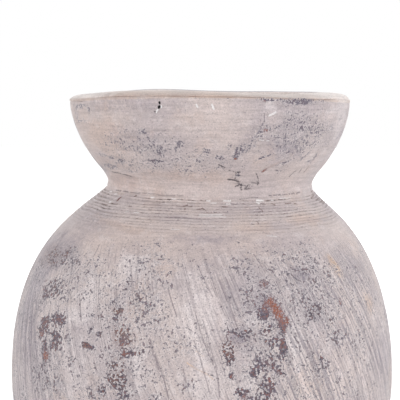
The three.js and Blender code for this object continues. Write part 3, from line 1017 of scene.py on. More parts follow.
def inside_path(outside, bottom_wall, top_wall):
    """The inside of a wall, from its top down to its bottom, rippled by the throwing."""
    bottom, top = outside[0], outside[-1]
    count = max(3, round(lengths(outside)[-1] / INSIDE_STEP))
    distances = np.linspace(0, lengths(outside)[-1], count)
    path = np.stack([np.interp(distances, lengths(outside), outside[:, k]) for k in (0, 1)], axis=-1)
    along = np.gradient(path, axis=0)
    along /= np.linalg.norm(along, axis=1, keepdims=True)
    share = (path[:, 1] - bottom[1]) / (top[1] - bottom[1])
    wall = bottom_wall + (top_wall - bottom_wall) * share
    inner = path - np.stack([along[:, 1], -along[:, 0]], axis=-1) * wall[:, None]
    clear = min(bottom_wall, top_wall) / 2
    between = inner[(inner[:, 1] > bottom[1] + clear) & (inner[:, 1] < top[1] - clear)]
    bottom_end, top_end = (bottom[0] - bottom_wall, bottom[1]), (top[0] - top_wall, top[1])
    path = np.concatenate([[bottom_end], between, [top_end]])[::-1]
    fine = steps_between(0, lengths(path)[-1], RING_PITCH / 4)
    path = np.stack([np.interp(fine, lengths(path), path[:, k]) for k in (0, 1)], axis=-1)
    ends = smooth(fine, 0, RING_PITCH) * (1 - smooth(fine, fine[-1] - RING_PITCH, fine[-1]))
    path[:, 0] += RING_DEPTH * ends * np.sin(2 * math.pi * fine / RING_PITCH)
    return path


def groove_path(outer, inner, seat, height):
    """A groove in the top of a section, from its outer side to its inner side."""
    middle = (outer + inner) / 2
    reach = TONGUE_WIDTH / 2 + SLIP
    low = seat - height - SLIP
    return [(middle + reach, seat), (middle + reach, low), (middle - reach, low), (middle - reach, seat)]


def tongue_path(outer, inner, seat, height):
    """A tongue under a section, from its inner side to its outer side."""
    middle = (outer + inner) / 2
    reach = TONGUE_WIDTH / 2
    low = seat - height
    return [(middle - reach, seat), (middle - reach, low), (middle + reach, low), (middle + reach, seat)]


class Section(NamedTuple):
    """Rows of a section: its outside by distances down, and the hidden and inner ones as radii and heights.
    A disc has rows under its outside too, and a pole closes it at each end. A ring closes on itself."""

    outside: np.ndarray
    others: np.ndarray
    columns: int
    under: np.ndarray = np.zeros((0, 2))
    ring: bool = True


def plain_rows(angles, outline):
    """Rows of points without relief, from an outline's radii and heights."""
    turn, radius = np.meshgrid(angles, outline[:, 0])
    height = np.meshgrid(angles, outline[:, 1])[1]
    return warp(sag(round_axis(turn, radius, height)))


def section_mesh(name, section):
    """The mesh of a section of the vase, with its wear stored on its points."""
    angles = column_angles(section.columns)
    angle, down = np.meshgrid(angles, section.outside)
    under = plain_rows(angles, section.under)
    rows = np.concatenate([under, outside_points(angle, down), plain_rows(angles, section.others)])
    index = np.arange(rows[..., 0].size).reshape(rows.shape[:2])
    bands = np.concatenate([index, index[:1]]) if section.ring else index
    right = np.roll(bands, -1, axis=1)
    faces = np.stack([bands[:-1], right[:-1], right[1:], bands[1:]], axis=-1).reshape(-1, 4).tolist()
    places = rows.reshape(-1, 3) * MM
    if not section.ring:
        poles = rows[[0, -1]].mean(axis=1) * MM
        low, high = len(places), len(places) + 1
        places = np.concatenate([places, poles])
        faces += [(b, a, low) for a, b in zip(index[0].tolist(), right[0].tolist())]
        faces += [(a, b, high) for a, b in zip(index[-1].tolist(), right[-1].tolist())]
    mesh = bpy.data.meshes.new(name)
    mesh.from_pydata(places.tolist(), [], faces)
    mesh.validate()
    store_wear(mesh, under[..., 0].size, angle, down)
    mesh.shade_smooth()
    mesh.set_sharp_from_angle(angle=math.radians(SHARP_ANGLE))
    return mesh


def store_wear(mesh, first, angle, down):
    """Stores on the points how the clay is worn, combed and scraped there. The outside starts at first."""
    outline = outside_at(down)
    points = round_axis(angle, outline[..., 0], outline[..., 1])
    outside = slice(first, first + down.size)
    layers = {kind: painted(kind, points, angle, down) for kind in MARKS}
    marked = layers["worn"] * (1 + MARK_MARGIN) - MARK_MARGIN * (2 - smooth(layers["worn"], 0, 0.3))
    layers["worn"] = np.maximum(marked, general_wear(points, down) - 0.3 * layers["pale"])
    layers["scored"] = np.maximum(layers["scored"], general_scoring(points, angle))
    layers["worn"] = layers["worn"] * (1 - layers["clean"]) - CLEAN_MARGIN * layers["clean"]
    # The pale layer also carries the painted highlight on the lip's crest and sides
    layers["pale"] = np.maximum(layers["pale"], painted_lip_highlight(angle, down))
    # The haze layer also carries the painted shade of the rear crest
    layers["haze"] = np.maximum(layers["haze"], painted_rear_crest_shade(angle, down))
    for name, lines in LINES.items():
        layers[name + "_side"], layers[name + "_beyond"], layers[name] = drawn(lines, angle, down)
    layers["seam"] = lip_line(points, angle, down)
    layers["comb_phase"] = comb_phase(points, down)
    layers["comb_strength"] = comb_strength(points, down)
    layers["scraped"] = scraped(down)
    # The two rows inside the lip's crest are as blue-grey at the rear as the crest is: painted shade
    crest_shade_rows = slice(first + down.size, first + down.size + 2 * down.shape[1])
    for name, values in layers.items():
        whole = np.zeros(len(mesh.vertices), np.float32)
        whole[outside] = values.ravel()
        if name == "haze":
            whole[crest_shade_rows] = np.tile(painted_rear_crest_shade(angle[-1], down[-1]), 2)
        mesh.attributes.new(name, "FLOAT", "POINT").data.foreach_set("value", whole)
    inside = np.ones(len(mesh.vertices), np.float32)
    inside[outside] = 0
    mesh.attributes.new("inside", "FLOAT", "POINT").data.foreach_set("value", inside)


def general_wear(points, down):
    """The thin wear that lies between the marked patches, and the wash rubbed off the foot."""
    body = smooth(down, COMB_END + 4, BODY_START)
    shoulder = smooth(down, -4, 10)
    broad = (0.58 + 0.34 * noise(points, 19, 31)) * body + 0.45 * shoulder
    thin = broad + 0.2 * noise(points, 8, 32) - CLEAN_MARGIN
    foot = FOOT_WEAR - (FOOT_WEAR + CLEAN_MARGIN) * smooth(outside_at(down)[..., 1], 1, FOOT_WEAR_HEIGHT)
    return np.maximum(thin, foot)


def turn_from_front(angle):
    """Degrees round the axis from the front, from -180 to 180, towards +X."""
    return np.degrees(angle - FRONT + math.pi) % 360 - 180


def general_scoring(points, angle):
    """How streaky the scraping left the wash, apart from the marked places, on the sides that aren't seen."""
    unseen = smooth(np.abs(turn_from_front(angle)), 65, 80)
    return np.clip(0.45 + 0.8 * noise(points, 48, 33), 0, 1) * unseen


def painted_lip_highlight(angle, down):
    """Painted highlight: the lip's crest, and its sides, are paler, as if lit."""
    crest = 0.2 * smooth(-down, COLLAR_LENGTH + 7, TOP_LENGTH - 3)
    sides = smooth(np.abs(turn_from_front(angle)), 36, 56)
    return np.maximum(crest, sides * smooth(-down, COLLAR_LENGTH + 1, COLLAR_LENGTH + 3))


def lip_line(points, angle, down):
    """The brown line along the seam under the lip, uneven, and fading at the sides."""
    turn = turn_from_front(angle)
    fading = smooth(turn, -62, -38) * (1 - smooth(turn, 48, 66)) + 0.3 * smooth(np.abs(turn), 60, 90)
    return at_lip_seam(angle, down) * (0.75 + 0.6 * noise(points, 6, 34)) * fading


def painted_rear_crest_shade(angle, down):
    """Painted shade: the crest at the rear is blue-grey, as if in shadow."""
    rear = smooth(np.abs(turn_from_front(angle)), 100, 118)
    return 0.9 * rear * smooth(-down, TOP_LENGTH - 5, TOP_LENGTH - 2)


def base_section():
    """The beaten disc. Its foot edge is worn round, and its side carries on the line of the body."""
    side = steps_between(down_at_height(BASE_EDGE), down_at_height(FLOOR_THICKNESS), 1)
    edge, rim = outside_at(side[[0, -1]])
    t = np.linspace(0, 1, 7)[:-1, None]
    start = np.array([BASE_RADIUS - BASE_EDGE, 0])
    corner = np.array([BASE_RADIUS, 0])
    worn_edge = (1 - t) ** 2 * start + 2 * t * (1 - t) * corner + t**2 * edge
    spread = np.linspace(POLE_RADIUS, start[0], 12)
    under = np.stack([spread, 0 * spread], axis=-1)[:-1]
    groove = groove_path(rim[0], rim[0] - FOOT_WALL, FLOOR_THICKNESS, TONGUE_HEIGHT)
    inward = np.linspace(groove[-1][0], POLE_RADIUS, 12)[1:]
    floor = np.stack([inward, 0 * inward + FLOOR_THICKNESS], axis=-1)
    under = np.concatenate([under, worn_edge])
    return Section(side, np.concatenate([groove, floor]), BASE_COLUMNS, under, False)


def lip_section():
    """The lip's outside rises to its crest, and its inside rolls over and down to the joint."""
    wall_inside = MOUTH[0] - MOUTH_WALL
    roll = LIP_INSIDE[:: CURVE_POINTS // 8][1:]
    inner = np.concatenate([
        roll,
        [(LIP_INNER, CREST - LIP_DROP), (wall_inside, LIP_SEAT)],
        tongue_path(MOUTH[0], wall_inside, LIP_SEAT, LIP_TONGUE_HEIGHT),
    ])
    outside = -steps_between(COLLAR_LENGTH, TOP_LENGTH, COLLAR_STEP / 2)
    return Section(outside, inner, COLLAR_COLUMNS)


def collar_section():
    """The waist and the flared bowl, from the seat up to the lip's joint."""
    wall_inside = MOUTH[0] - MOUTH_WALL
    others = np.concatenate([
        groove_path(MOUTH[0], wall_inside, LIP_SEAT, LIP_TONGUE_HEIGHT),
        inside_path(COLLAR_PATH, COLLAR_WALL, MOUTH_WALL),
        tongue_path(NECK_RADIUS, NECK_RADIUS - COLLAR_WALL, NECK_SEAT, TONGUE_HEIGHT),
    ])
    return Section(-steps_between(0, COLLAR_LENGTH, COLLAR_STEP), others, COLLAR_COLUMNS)


def upper_section():
    """The body above its widest line, in finer rows where it is combed."""
    combed = COMB_END + 3
    outside = np.concatenate([
        steps_between(SHOULDER_LENGTH, combed, BODY_STEP)[:-1],
        steps_between(combed, 0, COMB_STEP),
    ])
    others = np.concatenate([
        groove_path(NECK_RADIUS, NECK_RADIUS - COLLAR_WALL, NECK_SEAT, TONGUE_HEIGHT),
        inside_path(UPPER_CURVE, BODY_WALL, COLLAR_WALL),
        tongue_path(BELLY_RADIUS, BELLY_RADIUS - BODY_WALL, BELLY_SEAT, TONGUE_HEIGHT),
    ])
    return Section(outside, others, BODY_COLUMNS)


def lower_section():
    """The body below its widest line, down to the disc."""
    foot_down = down_at_height(FLOOR_THICKNESS)
    foot = outside_at(foot_down)[0]
    path = LOWER_CURVE[LOWER_CURVE[:, 1] > FLOOR_THICKNESS]
    path = np.concatenate([[(foot, FLOOR_THICKNESS)], path])
    others = np.concatenate([
        groove_path(BELLY_RADIUS, BELLY_RADIUS - BODY_WALL, BELLY_SEAT, TONGUE_HEIGHT),
        inside_path(path, FOOT_WALL, BODY_WALL),
        tongue_path(foot, foot - FOOT_WALL, FLOOR_THICKNESS, TONGUE_HEIGHT),
    ])
    return Section(steps_between(foot_down, SHOULDER_LENGTH, BODY_STEP), others, BODY_COLUMNS)


# Materials

def srgb(red, green, blue):
    """A linear colour from the 0 to 255 values that a picture shows."""
    shares = [value / 255 for value in (red, green, blue)]
    linear = [s / 12.92 if s <= 0.04045 else ((s + 0.055) / 1.055) ** 2.4 for s in shares]
    return (*linear, 1)


WASH = srgb(205, 191, 188)
WASH_COOL = srgb(192, 180, 181)
WASH_WARM = srgb(205, 184, 175)
# Pale wash, and also the painted highlight at the collar's edges
WASH_PALE_AND_HIGHLIGHT = srgb(226, 216, 216)
# Painted highlight of the lip's lit crest, sides and inner roll
LIP_HIGHLIGHT = srgb(244, 234, 230)
LIP_WASH = srgb(206, 186, 176)
LIP_WASH_COOL = srgb(201, 185, 178)
LIP_BROWN = srgb(148, 124, 113)
OCHRE = srgb(214, 172, 128)
# Blue-grey of thin wash, and of the painted shade on the rear crest and under the lip
HAZE_AND_SHADE = srgb(143, 134, 146)
THIN_WASH = srgb(134, 126, 136)
DARK_CLAY = srgb(76, 70, 82)
GREY_CLAY = srgb(110, 103, 116)
BROWN_CLAY = srgb(130, 100, 88)
RUST = srgb(156, 100, 82)
LINE = srgb(130, 119, 126)
GROOVE = srgb(104, 88, 84)
GROOVE_FAINT = srgb(158, 142, 136)
CRACK = srgb(72, 66, 72)
RED_PIT = srgb(104, 44, 32)
BROWN_DASH = srgb(112, 92, 86)
# The chips' near-black is painted shade
SHADED_CHIP = srgb(22, 18, 22)
# Thick white lime, and painted highlights by the chips
WHITE = srgb(244, 240, 240)
BARE_CLAY = srgb(150, 128, 120)
COLLAR_FLAKE = srgb(98, 93, 108)
MOUTH_CLAY = srgb(184, 168, 162)
BROWN_WASH = srgb(172, 148, 141)
RING_PALE = srgb(238, 230, 230)


class Finish(NamedTuple):
    """How a section's clay is washed, wiped and worn. The last numbers are strengths."""

    wash: tuple = WASH
    cool: tuple = WASH_COOL  # the cooler places of the wash
    # the paler places; on the lip and at the collar's edges they are a painted highlight
    pale: tuple = WASH_PALE_AND_HIGHLIGHT
    inside: tuple = BARE_CLAY
    flake: tuple = DARK_CLAY  # the clay in the flakes
    flake_size: float = 1.8  # mm
    wiped: float = 0.3  # level streaks
    scrape: float = 0.75  # slanting streaks
    grainy: float = 0.95
    rusty: float = 0.6  # rust in the flakes
    browned: float = 0.35  # brown in the flakes
    wear: float = 0.2
    combs: bool = False  # whether there are combed grooves
    spots: bool = False  # whether there are small dark and white spots


FINISHES = {
    "bare_clay": Finish(),
    "washed_clay": Finish(),
    "combed_clay": Finish(wiped=0.4, combs=True, spots=True),
    "collar_clay": Finish(
        inside=MOUTH_CLAY, flake=COLLAR_FLAKE, flake_size=1.5,
        wiped=0.6, scrape=0, grainy=1.1, rusty=0.2, browned=0.12, wear=0.25, spots=True,
    ),
    # The lip's pale places and its inside take the painted highlight colour
    "wiped_clay": Finish(
        wash=LIP_WASH, cool=LIP_WASH_COOL, pale=LIP_HIGHLIGHT, inside=LIP_HIGHLIGHT, flake=COLLAR_FLAKE, flake_size=1.5,
        wiped=0.7, scrape=0, grainy=0.9, rusty=0, browned=0.3,
    ),
}


# The noises of the materials: the size of their lumps in mm, detail, roughness and seed
NOISES = {
    "cool wash": (52, 2, 0.5, 3),
    "warm wash": (26, 4, 0.65, 4),
    "pale wash": (9, 3, 0.6, 5),
    "cloud": (2.6, 4, 0.75, 6),
    "thin wash": (17, 4, 0.65, 7),
    "line edge": (1.3, 2, 0.6, 24),
    "level streaks": (1.7, 2.5, 0.6, 8),
    "slanting streaks": (2.6, 3, 0.75, 9),
    "grain": (1, 2, 0.7, 10),
    "mottle": (2.6, 3, 0.65, 19),
    "far lines": (7.5, 1.5, 0.5, 11),
    "near lines": (3.8, 1.5, 0.5, 20),
    "far line places": (24, 3, 0.6, 12),
    "flakes": (1.8, 2.4, 0.62, 1),
    "flake clusters": (5, 3, 0.6, 2),
    "specks": (1.1, 3, 0.8, 15),
    "film": (3.2, 3, 0.7, 26),
    "clay": (2, 3, 0.7, 13),
    "brown clay": (2.8, 3, 0.65, 14),
    "rusty clay": (1.6, 3, 0.7, 17),
    "rust": (0.9, 2, 0.7, 23),
    "groove dashes": (1.1, 2, 0.6, 21),
    "comb smears": (5, 3, 0.6, 22),
    "open places": (2.2, 2, 0.6, 16),
    "inside mottle": (3, 4, 0.7, 25),
    "inside wash": (30, 4, 0.65, 18),
}


# How much each layer of colour covers of what is under it, where it is strongest
COVER = {
    "warm wash": 0.8,
    "ochre": 0.75,
    "pale wash": 0.75,
    "brown wash": 0.5,
    "slanting haze": 0.35,
    "pale lines": 0.5,
    "dark lines": 0.7,
    "ring": 0.9,
    "specks": 0.6,
    "film": 0.42,
    "flake edge": 0.65,
    "under rust": 0.8,
    "faint groove": 0.4,
    "groove": 0.85,
    "smear": 0.3,
    "ridge": 0.65,
    "dash": 0.85,
    "white": 0.85,
    "crack": 0.85,
    "inside wash": 0.4,
}

# Thin lines, in half widths: where they fade, where they are full, and how far their edges wander
LINE_EDGES = {
    "crack": (1.6, 0.8, 2.2),
    "scratch": (1.5, 0.5, 2.2),
    "dash": (1.5, 0.6, 2.2),
    "white": (1.5, 0.8, 2.2),
    "chip": (1.2, 0.9, 0.6),
    "red": (1.4, 0.7, 2.2),
    "thread": (1.5, 0.6, 2.2),
}


class Value:
    """What a node puts out, such as a number that varies over a surface. Sums and products add nodes."""

    def __init__(self, nodes, socket):
        self.nodes = nodes
        self.socket = socket

    def __add__(self, other):
        return self.nodes.math("ADD", self, other)

    def __sub__(self, other):
        return self.nodes.math("SUBTRACT", self, other)

    def __rsub__(self, other):
        return self.nodes.math("SUBTRACT", other, self)

    def __mul__(self, other):
        return self.nodes.math("MULTIPLY", self, other)

    def larger(self, other):
        return self.nodes.math("MAXIMUM", self, other)

    def step(self, low, high):
        """0 at low, 1 at high, a smooth change between, and level on either side."""
        ends = {"Value": self, "From Min": low, "From Max": high}
        return self.nodes.add("MapRange", ends, interpolation_type="SMOOTHSTEP")


class Nodes:
    """The nodes of a material or world under construction. Its methods add nodes and return their outputs."""

    def __init__(self, owner):
        owner.use_nodes = True
        self.tree = owner.node_tree
        self.tree.nodes.clear()

    def add(self, kind, inputs, output=0, **settings):
        """Adds a node with its settings, and feeds its inputs, by their names or numbers."""
        node = self.tree.nodes.new("ShaderNode" + kind)
        for name, value in settings.items():
            setattr(node, name, value)
        for name, value in inputs.items():
            if isinstance(value, Value):
                self.tree.links.new(value.socket, node.inputs[name])
            else:
                node.inputs[name].default_value = value
        return Value(self, node.outputs[output]) if node.outputs else None

    def math(self, operation, *values, clamp=False):
        return self.add("Math", dict(enumerate(values)), operation=operation, use_clamp=clamp)

    def vector(self, operation, *values):
        return self.add("VectorMath", dict(enumerate(values)), operation=operation)

    def scaled(self, vector, factor):
        """A place moved out, or a colour made lighter or darker, by a factor."""
        return self.add("VectorMath", {0: vector, "Scale": factor}, operation="SCALE")

    def blend(self, share, under, over):
        return self.add("Mix", {0: share, 6: under, 7: over}, output=2, data_type="RGBA")


class Shade(Nodes):
    """The nodes of a piece's material, which find their place on the vase in mm."""

    def __init__(self, name):
        self.material = bpy.data.materials.new(name)
        super().__init__(self.material)
        self.place = self.scaled(self.add("TexCoord", {}, output="Object"), 1 / MM)

    def attribute(self, name):
        """What is stored on the mesh's points under a name."""
        return self.add("Attribute", {}, output="Fac", attribute_name=name)

    def noise(self, name, place=None, size=None):
        """A noise from 0 to 1 about 0.5, here or at another place, in lumps of its own size or another."""
        own_size, detail, roughness, seed = NOISES[name]
        moved = self.vector("ADD", place or self.place, [seed * step for step in SEED_STEPS])
        inputs = {"Vector": moved, "Scale": 1 / (size or own_size), "Detail": detail, "Roughness": roughness}
        return self.add("TexNoise", inputs)

    def drawn_out(self, level, upright=1):
        """The place with its level and upright directions scaled. A small scale draws marks out."""
        return self.vector("MULTIPLY", self.place, (level, level, upright))

    def wipe_place(self):
        """Place in a space where marks run level round the vase, drawn out round it."""
        return self.drawn_out(WIPE_SCALE)

    def scrape_place(self):
        """Place in a space where the scraping marks run upright, drawn out along them."""
        height = self.add("SeparateXYZ", {0: self.place}, output="Z")
        flat = self.vector("NORMALIZE", self.drawn_out(1, 0))
        turn = {"Vector": flat, "Angle": height * SCRAPE_TWIST}
        turned = self.add("VectorRotate", turn, rotation_type="Z_AXIS")
        return self.vector("ADD", self.scaled(turned, BELLY_RADIUS), self.drawn_out(0, SCRAPE_SCALE))

    def finish(self, colour, roughness, height):
        """Makes the surface. The height is in mm."""
        surface = {
            "Base Color": colour,
            "Roughness": roughness,
            "Specular IOR Level": CLAY_SPECULAR,
            "Sheen Weight": CLAY_SHEEN,
            "Sheen Roughness": SHEEN_ROUGHNESS,
            "Normal": self.add("Bump", {"Distance": MM, "Height": height}),
        }
        self.add("OutputMaterial", {"Surface": self.add("BsdfPrincipled", surface)})
        return self.material


def ground(shade, finish):
    """The wash itself, cooler, warmer and paler in turns, and blue-grey where it is thin; some pale places
    are painted highlight, and some blue-grey ones painted shade.
    """
    tone = shade.noise("cool wash").step(0.35, 0.65)
    colour = shade.blend(tone, finish.wash, finish.cool)
    warm = shade.attribute("warm").larger(shade.noise("warm wash").step(0.54, 0.66) * 0.4)
    colour = shade.blend(warm * COVER["warm wash"], colour, WASH_WARM)
    ochre = shade.attribute("ochre").larger(drawn_line(shade, "thread"))
    colour = shade.blend(ochre * COVER["ochre"], colour, OCHRE)
    # The pale layer also holds painted highlights on the lip and at the collar's edges
    pale = shade.noise("pale wash").step(0.53, 0.66) * 0.35
    pale = shade.math("ADD", shade.attribute("pale"), pale, clamp=True)
    colour = shade.blend(pale * COVER["pale wash"], colour, finish.pale)
    cloud = shade.noise("cloud").step(0.38, 0.6)
    # The haze layer also holds painted shade: the rear crest and the marks named shade
    haze = shade.attribute("haze") * (cloud * 0.7 + 0.25)
    thin = shade.noise("thin wash").step(0.5, 0.66) * cloud
    thin = thin * (shade.attribute("scraped") * 0.25 + 0.1)
    colour = shade.blend(haze.larger(thin), colour, HAZE_AND_SHADE)
    return shade.blend(shade.attribute("brown") * COVER["brown wash"], colour, BROWN_WASH)


def scrape_lines(shade, name, place, width):
    """Thin lines along the scraping marks, and the same lines a little to their side."""
    middle = shade.noise(name, place) - 0.5
    return [shade.math("ABSOLUTE", line).step(width, 0.2 * width) for line in (middle, middle - 1.7 * width)]


def drawn_line(shade, name):
    """A mask of the thin lines stored under a name."""
    soft, crisp, ragged = LINE_EDGES[name]
    side = shade.attribute(name + "_side")
    beyond = shade.attribute(name + "_beyond")
    gap = shade.math("SQRT", side * side + beyond * beyond)
    gap = gap + (shade.noise("line edge") - 0.5) * ragged
    return gap.step(soft, crisp) * shade.attribute(name)


def streaked(shade, finish, colour):
    """Streaks the wash: level ones by wiping, and slanting ones, with thin lines, by scraping. Returns the
    colour, the height in mm and the level streaks."""
    scored = shade.attribute("scored")
    scraping = shade.attribute("scraped")
    scraped_here = scraping * finish.scrape
    level = shade.noise("level streaks", shade.wipe_place())
    level_swing = (level - 0.5) * finish.wiped * (1 - scraping * 0.85)
    along = shade.scrape_place()
    slanting = shade.noise("slanting streaks", along)
    strong = scraped_here * (scored * 1.4 + 0.6)
    grain = shade.noise("grain")
    mottle = shade.noise("mottle")
    grainy = (scraping * 0.35 + 0.65) * finish.grainy
    light = level_swing + (slanting - 0.5) * strong + (grain - 0.5) * grainy + (mottle - 0.5) * grainy * 0.4
    colour = shade.scaled(colour, light + 1)
    colour = shade.blend(slanting.step(0.5, 0.4) * strong * COVER["slanting haze"], colour, HAZE_AND_SHADE)

    far_dark, far_pale = scrape_lines(shade, "far lines", along, 0.017)
    near_dark, near_pale = scrape_lines(shade, "near lines", along, 0.02)
    far_share = shade.noise("far line places").step(0.44, 0.58) * scraped_here
    near_share = (scored * 0.8 + 0.12) * scraped_here
    dark = (far_dark * far_share).larger(near_dark * near_share).larger(drawn_line(shade, "scratch"))
    pale = (far_pale * far_share).larger(near_pale * near_share)
    colour = shade.blend(pale * COVER["pale lines"], colour, WASH_PALE_AND_HIGHLIGHT)
    colour = shade.blend(dark * COVER["dark lines"], colour, LINE)
    height = grain * grainy * GRAIN_HEIGHT + level_swing * STREAK_HEIGHT - dark * LINE_DEPTH
    return colour, height, level


def flaked(shade, finish, colour, height):
    """Takes the wash off in small ragged flakes, closer together where it is more worn. The clay in them has
    brown places, and rusty ones in the middles of the larger flakes, and the wash is paler round them.
    Returns the colour, the height in mm and the flakes."""
    wear = shade.attribute("worn")
    worn = wear.larger(0)
    score = shade.noise("flakes", size=finish.flake_size) + (shade.noise("flake clusters") - 0.5) * 0.42
    score = score + wear * (wear * 0.45 + 0.85) * finish.wear
    solid = shade.math("SUBTRACT", 1, shade.attribute("haze") * 0.6, clamp=True)
    ring = score.step(*RING_BAND) * worn * solid
    edge = score.step(*EDGE_BAND)
    core = score.step(*CORE_BAND)
    deep = score.step(*DEEP_BAND)
    colour = shade.blend(ring * COVER["ring"], colour, RING_PALE)
    specks = wear * 0.04 + shade.noise("specks")
    colour = shade.blend(specks.step(0.58, 0.635) * COVER["specks"], colour, GREY_CLAY)
    film = shade.noise("film").step(0.42, 0.6) * worn.step(0.4, 1)
    colour = shade.blend(film * COVER["film"], colour, THIN_WASH)
    colour = shade.blend(edge * COVER["flake edge"], colour, THIN_WASH)
    tone = shade.noise("clay").step(0.44, 0.58)
    clay = shade.blend(tone, finish.flake, GREY_CLAY)
    brown = shade.noise("brown clay").step(0.53, 0.6) * finish.browned
    brown = brown.larger(shade.attribute("brown") * tone.step(0.15, 0.6))
    clay = shade.blend(brown, clay, BROWN_CLAY)
    rusty = deep * shade.noise("rusty clay").step(0.48, 0.58) * finish.rusty
    clay = shade.blend(rusty, clay, RUST)
    depth = worn.step(0.5, 0.9) * 0.33 + 0.62
    colour = shade.blend(core * depth, colour, clay)
    return colour, height - edge * FLAKE_DEPTH, edge


def stained(shade, colour):
    """Rust, in ragged grains over darkened wash."""
    rust = shade.attribute("rust")
    score = rust * 0.17 + shade.noise("specks")
    under = score.step(0.54, 0.6) * rust.step(0.05, 0.3)
    colour = shade.blend(under * COVER["under rust"], colour, GREY_CLAY)
    light = shade.noise("rust") * 2.4 - 0.2
    return shade.blend(score.step(0.6, 0.65) * rust, colour, shade.scaled(RUST[:3], light))


def combed(shade, colour, height, level):
    """Darkens the combed grooves, and leaves broken pale wash on the ridges between them."""
    groove = shade.math("COSINE", shade.attribute("comb_phase") * (2 * math.pi)) * -0.5 + 0.5
    strength = shade.attribute("comb_strength")
    dashes = shade.noise("groove dashes", shade.drawn_out(DASH_SCALE))
    dark = groove.step(0.35, 0.95) * strength
    colour = shade.blend(dark * COVER["faint groove"], colour, GROOVE_FAINT)
    dark = dark * dashes.step(0.47, 0.58) * level.step(0.36, 0.52)
    colour = shade.blend(dark * COVER["groove"], colour, GROOVE)
    smear = strength * shade.noise("comb smears", shade.wipe_place()).step(0.45, 0.6)
    colour = shade.blend(smear * COVER["smear"], colour, HAZE_AND_SHADE)
    ridge = groove.step(0.4, 0.1) * strength * dashes.step(0.56, 0.64)
    colour = shade.blend(ridge * COVER["ridge"], colour, WASH_PALE_AND_HIGHLIGHT)
    return colour, height - dark * GROOVE_DEPTH


def small_spots(shade, colour, height):
    """Dark dashes, chips and pits through the wash, the chips near-black with painted shade, knobs and dashes
    of thick white lime, and painted highlights by the chips.
    """
    dash, white, red, chip = (drawn_line(shade, name) for name in ("dash", "white", "red", "chip"))
    colour = shade.blend(dash * COVER["dash"], colour, BROWN_DASH)
    # The white layer also holds painted highlights by the chips
    colour = shade.blend(white * COVER["white"], colour, WHITE)
    colour = shade.blend(red, colour, RED_PIT)
    # Painted shade: the chips are near-black
    colour = shade.blend(chip, colour, SHADED_CHIP)
    return colour, height + white * LIME_HEIGHT - chip.larger(red) * PIT_DEPTH


def inside_clay(shade, finish, level, open_places):
    """The clay of the inside, with its throwing streaks, under a thin and patchy wash, and blue-grey painted
    shade in the two rows inside the rear crest.
    """
    mottle = shade.noise("inside mottle")
    light = level * 0.5 + (open_places - 0.5) * 0.1 + (mottle - 0.5) * 0.6 + 0.75
    patchy = shade.noise("inside wash").step(0.35, 0.65) * COVER["inside wash"]
    inner = shade.scaled(shade.blend(patchy, finish.inside, finish.wash), light)
    # Painted shade: inside, the haze layer is set only on the two rows under the rear crest
    return shade.blend(shade.attribute("haze"), inner, HAZE_AND_SHADE)


def washed_clay(name, finish):
    """The material of a section, outside and inside."""
    shade = Shade(name)
    colour, height, level = streaked(shade, finish, ground(shade, finish))
    colour = shade.blend(shade.attribute("seam"), colour, LIP_BROWN)
    if finish.combs:
        colour, height = combed(shade, colour, height, level)
    colour, height, flakes = flaked(shade, finish, colour, height)
    colour = stained(shade, colour)
    open_places = shade.noise("open places").step(0.38, 0.52)
    gap = drawn_line(shade, "crack") * open_places
    colour = shade.blend(gap * COVER["crack"], colour, CRACK)
    height = height - gap * CRACK_DEPTH
    if finish.spots:
        colour, height = small_spots(shade, colour, height)
    colour = shade.blend(shade.attribute("inside"), colour, inside_clay(shade, finish, level, open_places))
    return shade.finish(colour, CLAY_ROUGHNESS - flakes * FLAKE_SMOOTHNESS, height)


# Pieces

def add_piece(name, mesh, node, material):
    """Adds a piece that stands for a section of the solids."""
    piece = bpy.data.objects.new(name, mesh)
    bpy.context.scene.collection.objects.link(piece)
    mesh.materials.append(material)
    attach(piece, "root")
    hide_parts(node)


def build_vase():
    """Builds the five sections, each in place of its solid."""
    for node, section, slot in (
        ("base_disc", base_section(), "bare_clay"),
        ("lower_body", lower_section(), "washed_clay"),
        ("upper_body", upper_section(), "combed_clay"),
        ("neck_collar", collar_section(), "collar_clay"),
        ("lip_coil", lip_section(), "wiped_clay"),
    ):
        name = node + "_clay"
        add_piece(name, section_mesh(name, section), node, washed_clay(slot, FINISHES[slot]))


# Studio

def build_camera():
    """The camera that took the photograph."""
    camera = bpy.data.cameras.new("camera")
    camera.lens = CAMERA_LENS
    camera.sensor_width = SENSOR
    holder = bpy.data.objects.new("camera", camera)
    holder.location = (CAMERA_SIDE * MM, -CAMERA_DISTANCE * MM, CAMERA_HEIGHT * MM)
    holder.rotation_euler = (math.radians(90 - CAMERA_PITCH), 0, 0)
    bpy.context.scene.collection.objects.link(holder)
    bpy.context.scene.camera = holder


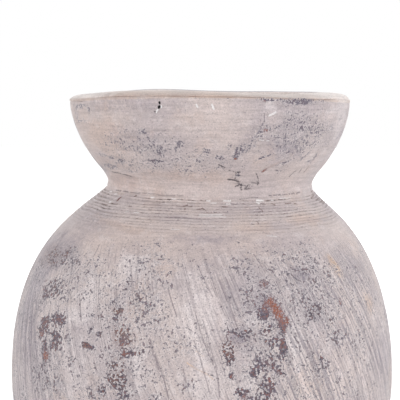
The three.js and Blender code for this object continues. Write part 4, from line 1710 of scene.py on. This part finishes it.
def seen_share(nodes):
    """1 for rays that show the background itself: from the camera, or mirrored or bent on their way to it."""
    kinds = ("Camera", "Glossy", "Transmission")
    seen, mirrored, bent = (nodes.add("LightPath", {}, f"Is {kind} Ray") for kind in kinds)
    return seen.larger(mirrored).larger(bent)


def build_world():
    """White light from all sides, weaker from overhead, before a plain white background."""
    world = bpy.data.worlds.new("studio")
    nodes = Nodes(world)
    height = nodes.add("SeparateXYZ", {0: nodes.add("TexCoord", {}, "Generated")}, "Z")
    strength = nodes.add("MapRange", {"Value": height, "To Min": WORLD_LIGHT, "To Max": OVERHEAD_LIGHT})
    light = nodes.add("Background", {"Color": PLAIN_WHITE, "Strength": strength})
    seen = nodes.add("Background", {"Color": PLAIN_WHITE, "Strength": 1})
    nodes.add("OutputWorld", {"Surface": nodes.add("MixShader", {0: seen_share(nodes), 1: light, 2: seen})})
    bpy.context.scene.world = world


def build_floor():
    """A pale floor that the camera sees as white, apart from the vase's shadow."""
    mesh = bpy.data.meshes.new("floor")
    half = FLOOR_SIDE / 2
    corners = [(-half, -half, 0), (half, -half, 0), (half, half, 0), (-half, half, 0)]
    mesh.from_pydata(corners, [], [(0, 1, 2, 3)])
    floor = bpy.data.objects.new("floor", mesh)
    bpy.context.scene.collection.objects.link(floor)
    material = bpy.data.materials.new("floor")
    nodes = Nodes(material)
    paper = nodes.add("BsdfDiffuse", {"Color": FLOOR_PAPER})
    glow = nodes.add("Emission", {"Strength": seen_share(nodes) * FLOOR_GLOW})
    nodes.add("OutputMaterial", {"Surface": nodes.add("AddShader", {0: paper, 1: glow})})
    mesh.materials.append(material)


def add_light(name, place, side, power):
    """A square soft light that faces the vase."""
    light = bpy.data.lights.new(name, "AREA")
    light.size = side
    light.energy = power
    holder = bpy.data.objects.new(name, light)
    away = np.array(place) - np.array(LIGHT_AIM)
    flat = math.hypot(away[0], away[1])
    holder.location = place
    holder.rotation_euler = (math.atan2(flat, away[2]), 0, math.atan2(away[1], away[0]) + math.pi / 2)
    bpy.context.scene.collection.objects.link(holder)


build_camera()
build_world()
build_floor()
for name, values in LIGHTS.items():
    add_light(name, *values)
build_vase()
bpy.context.scene.view_settings.view_transform = "Standard"
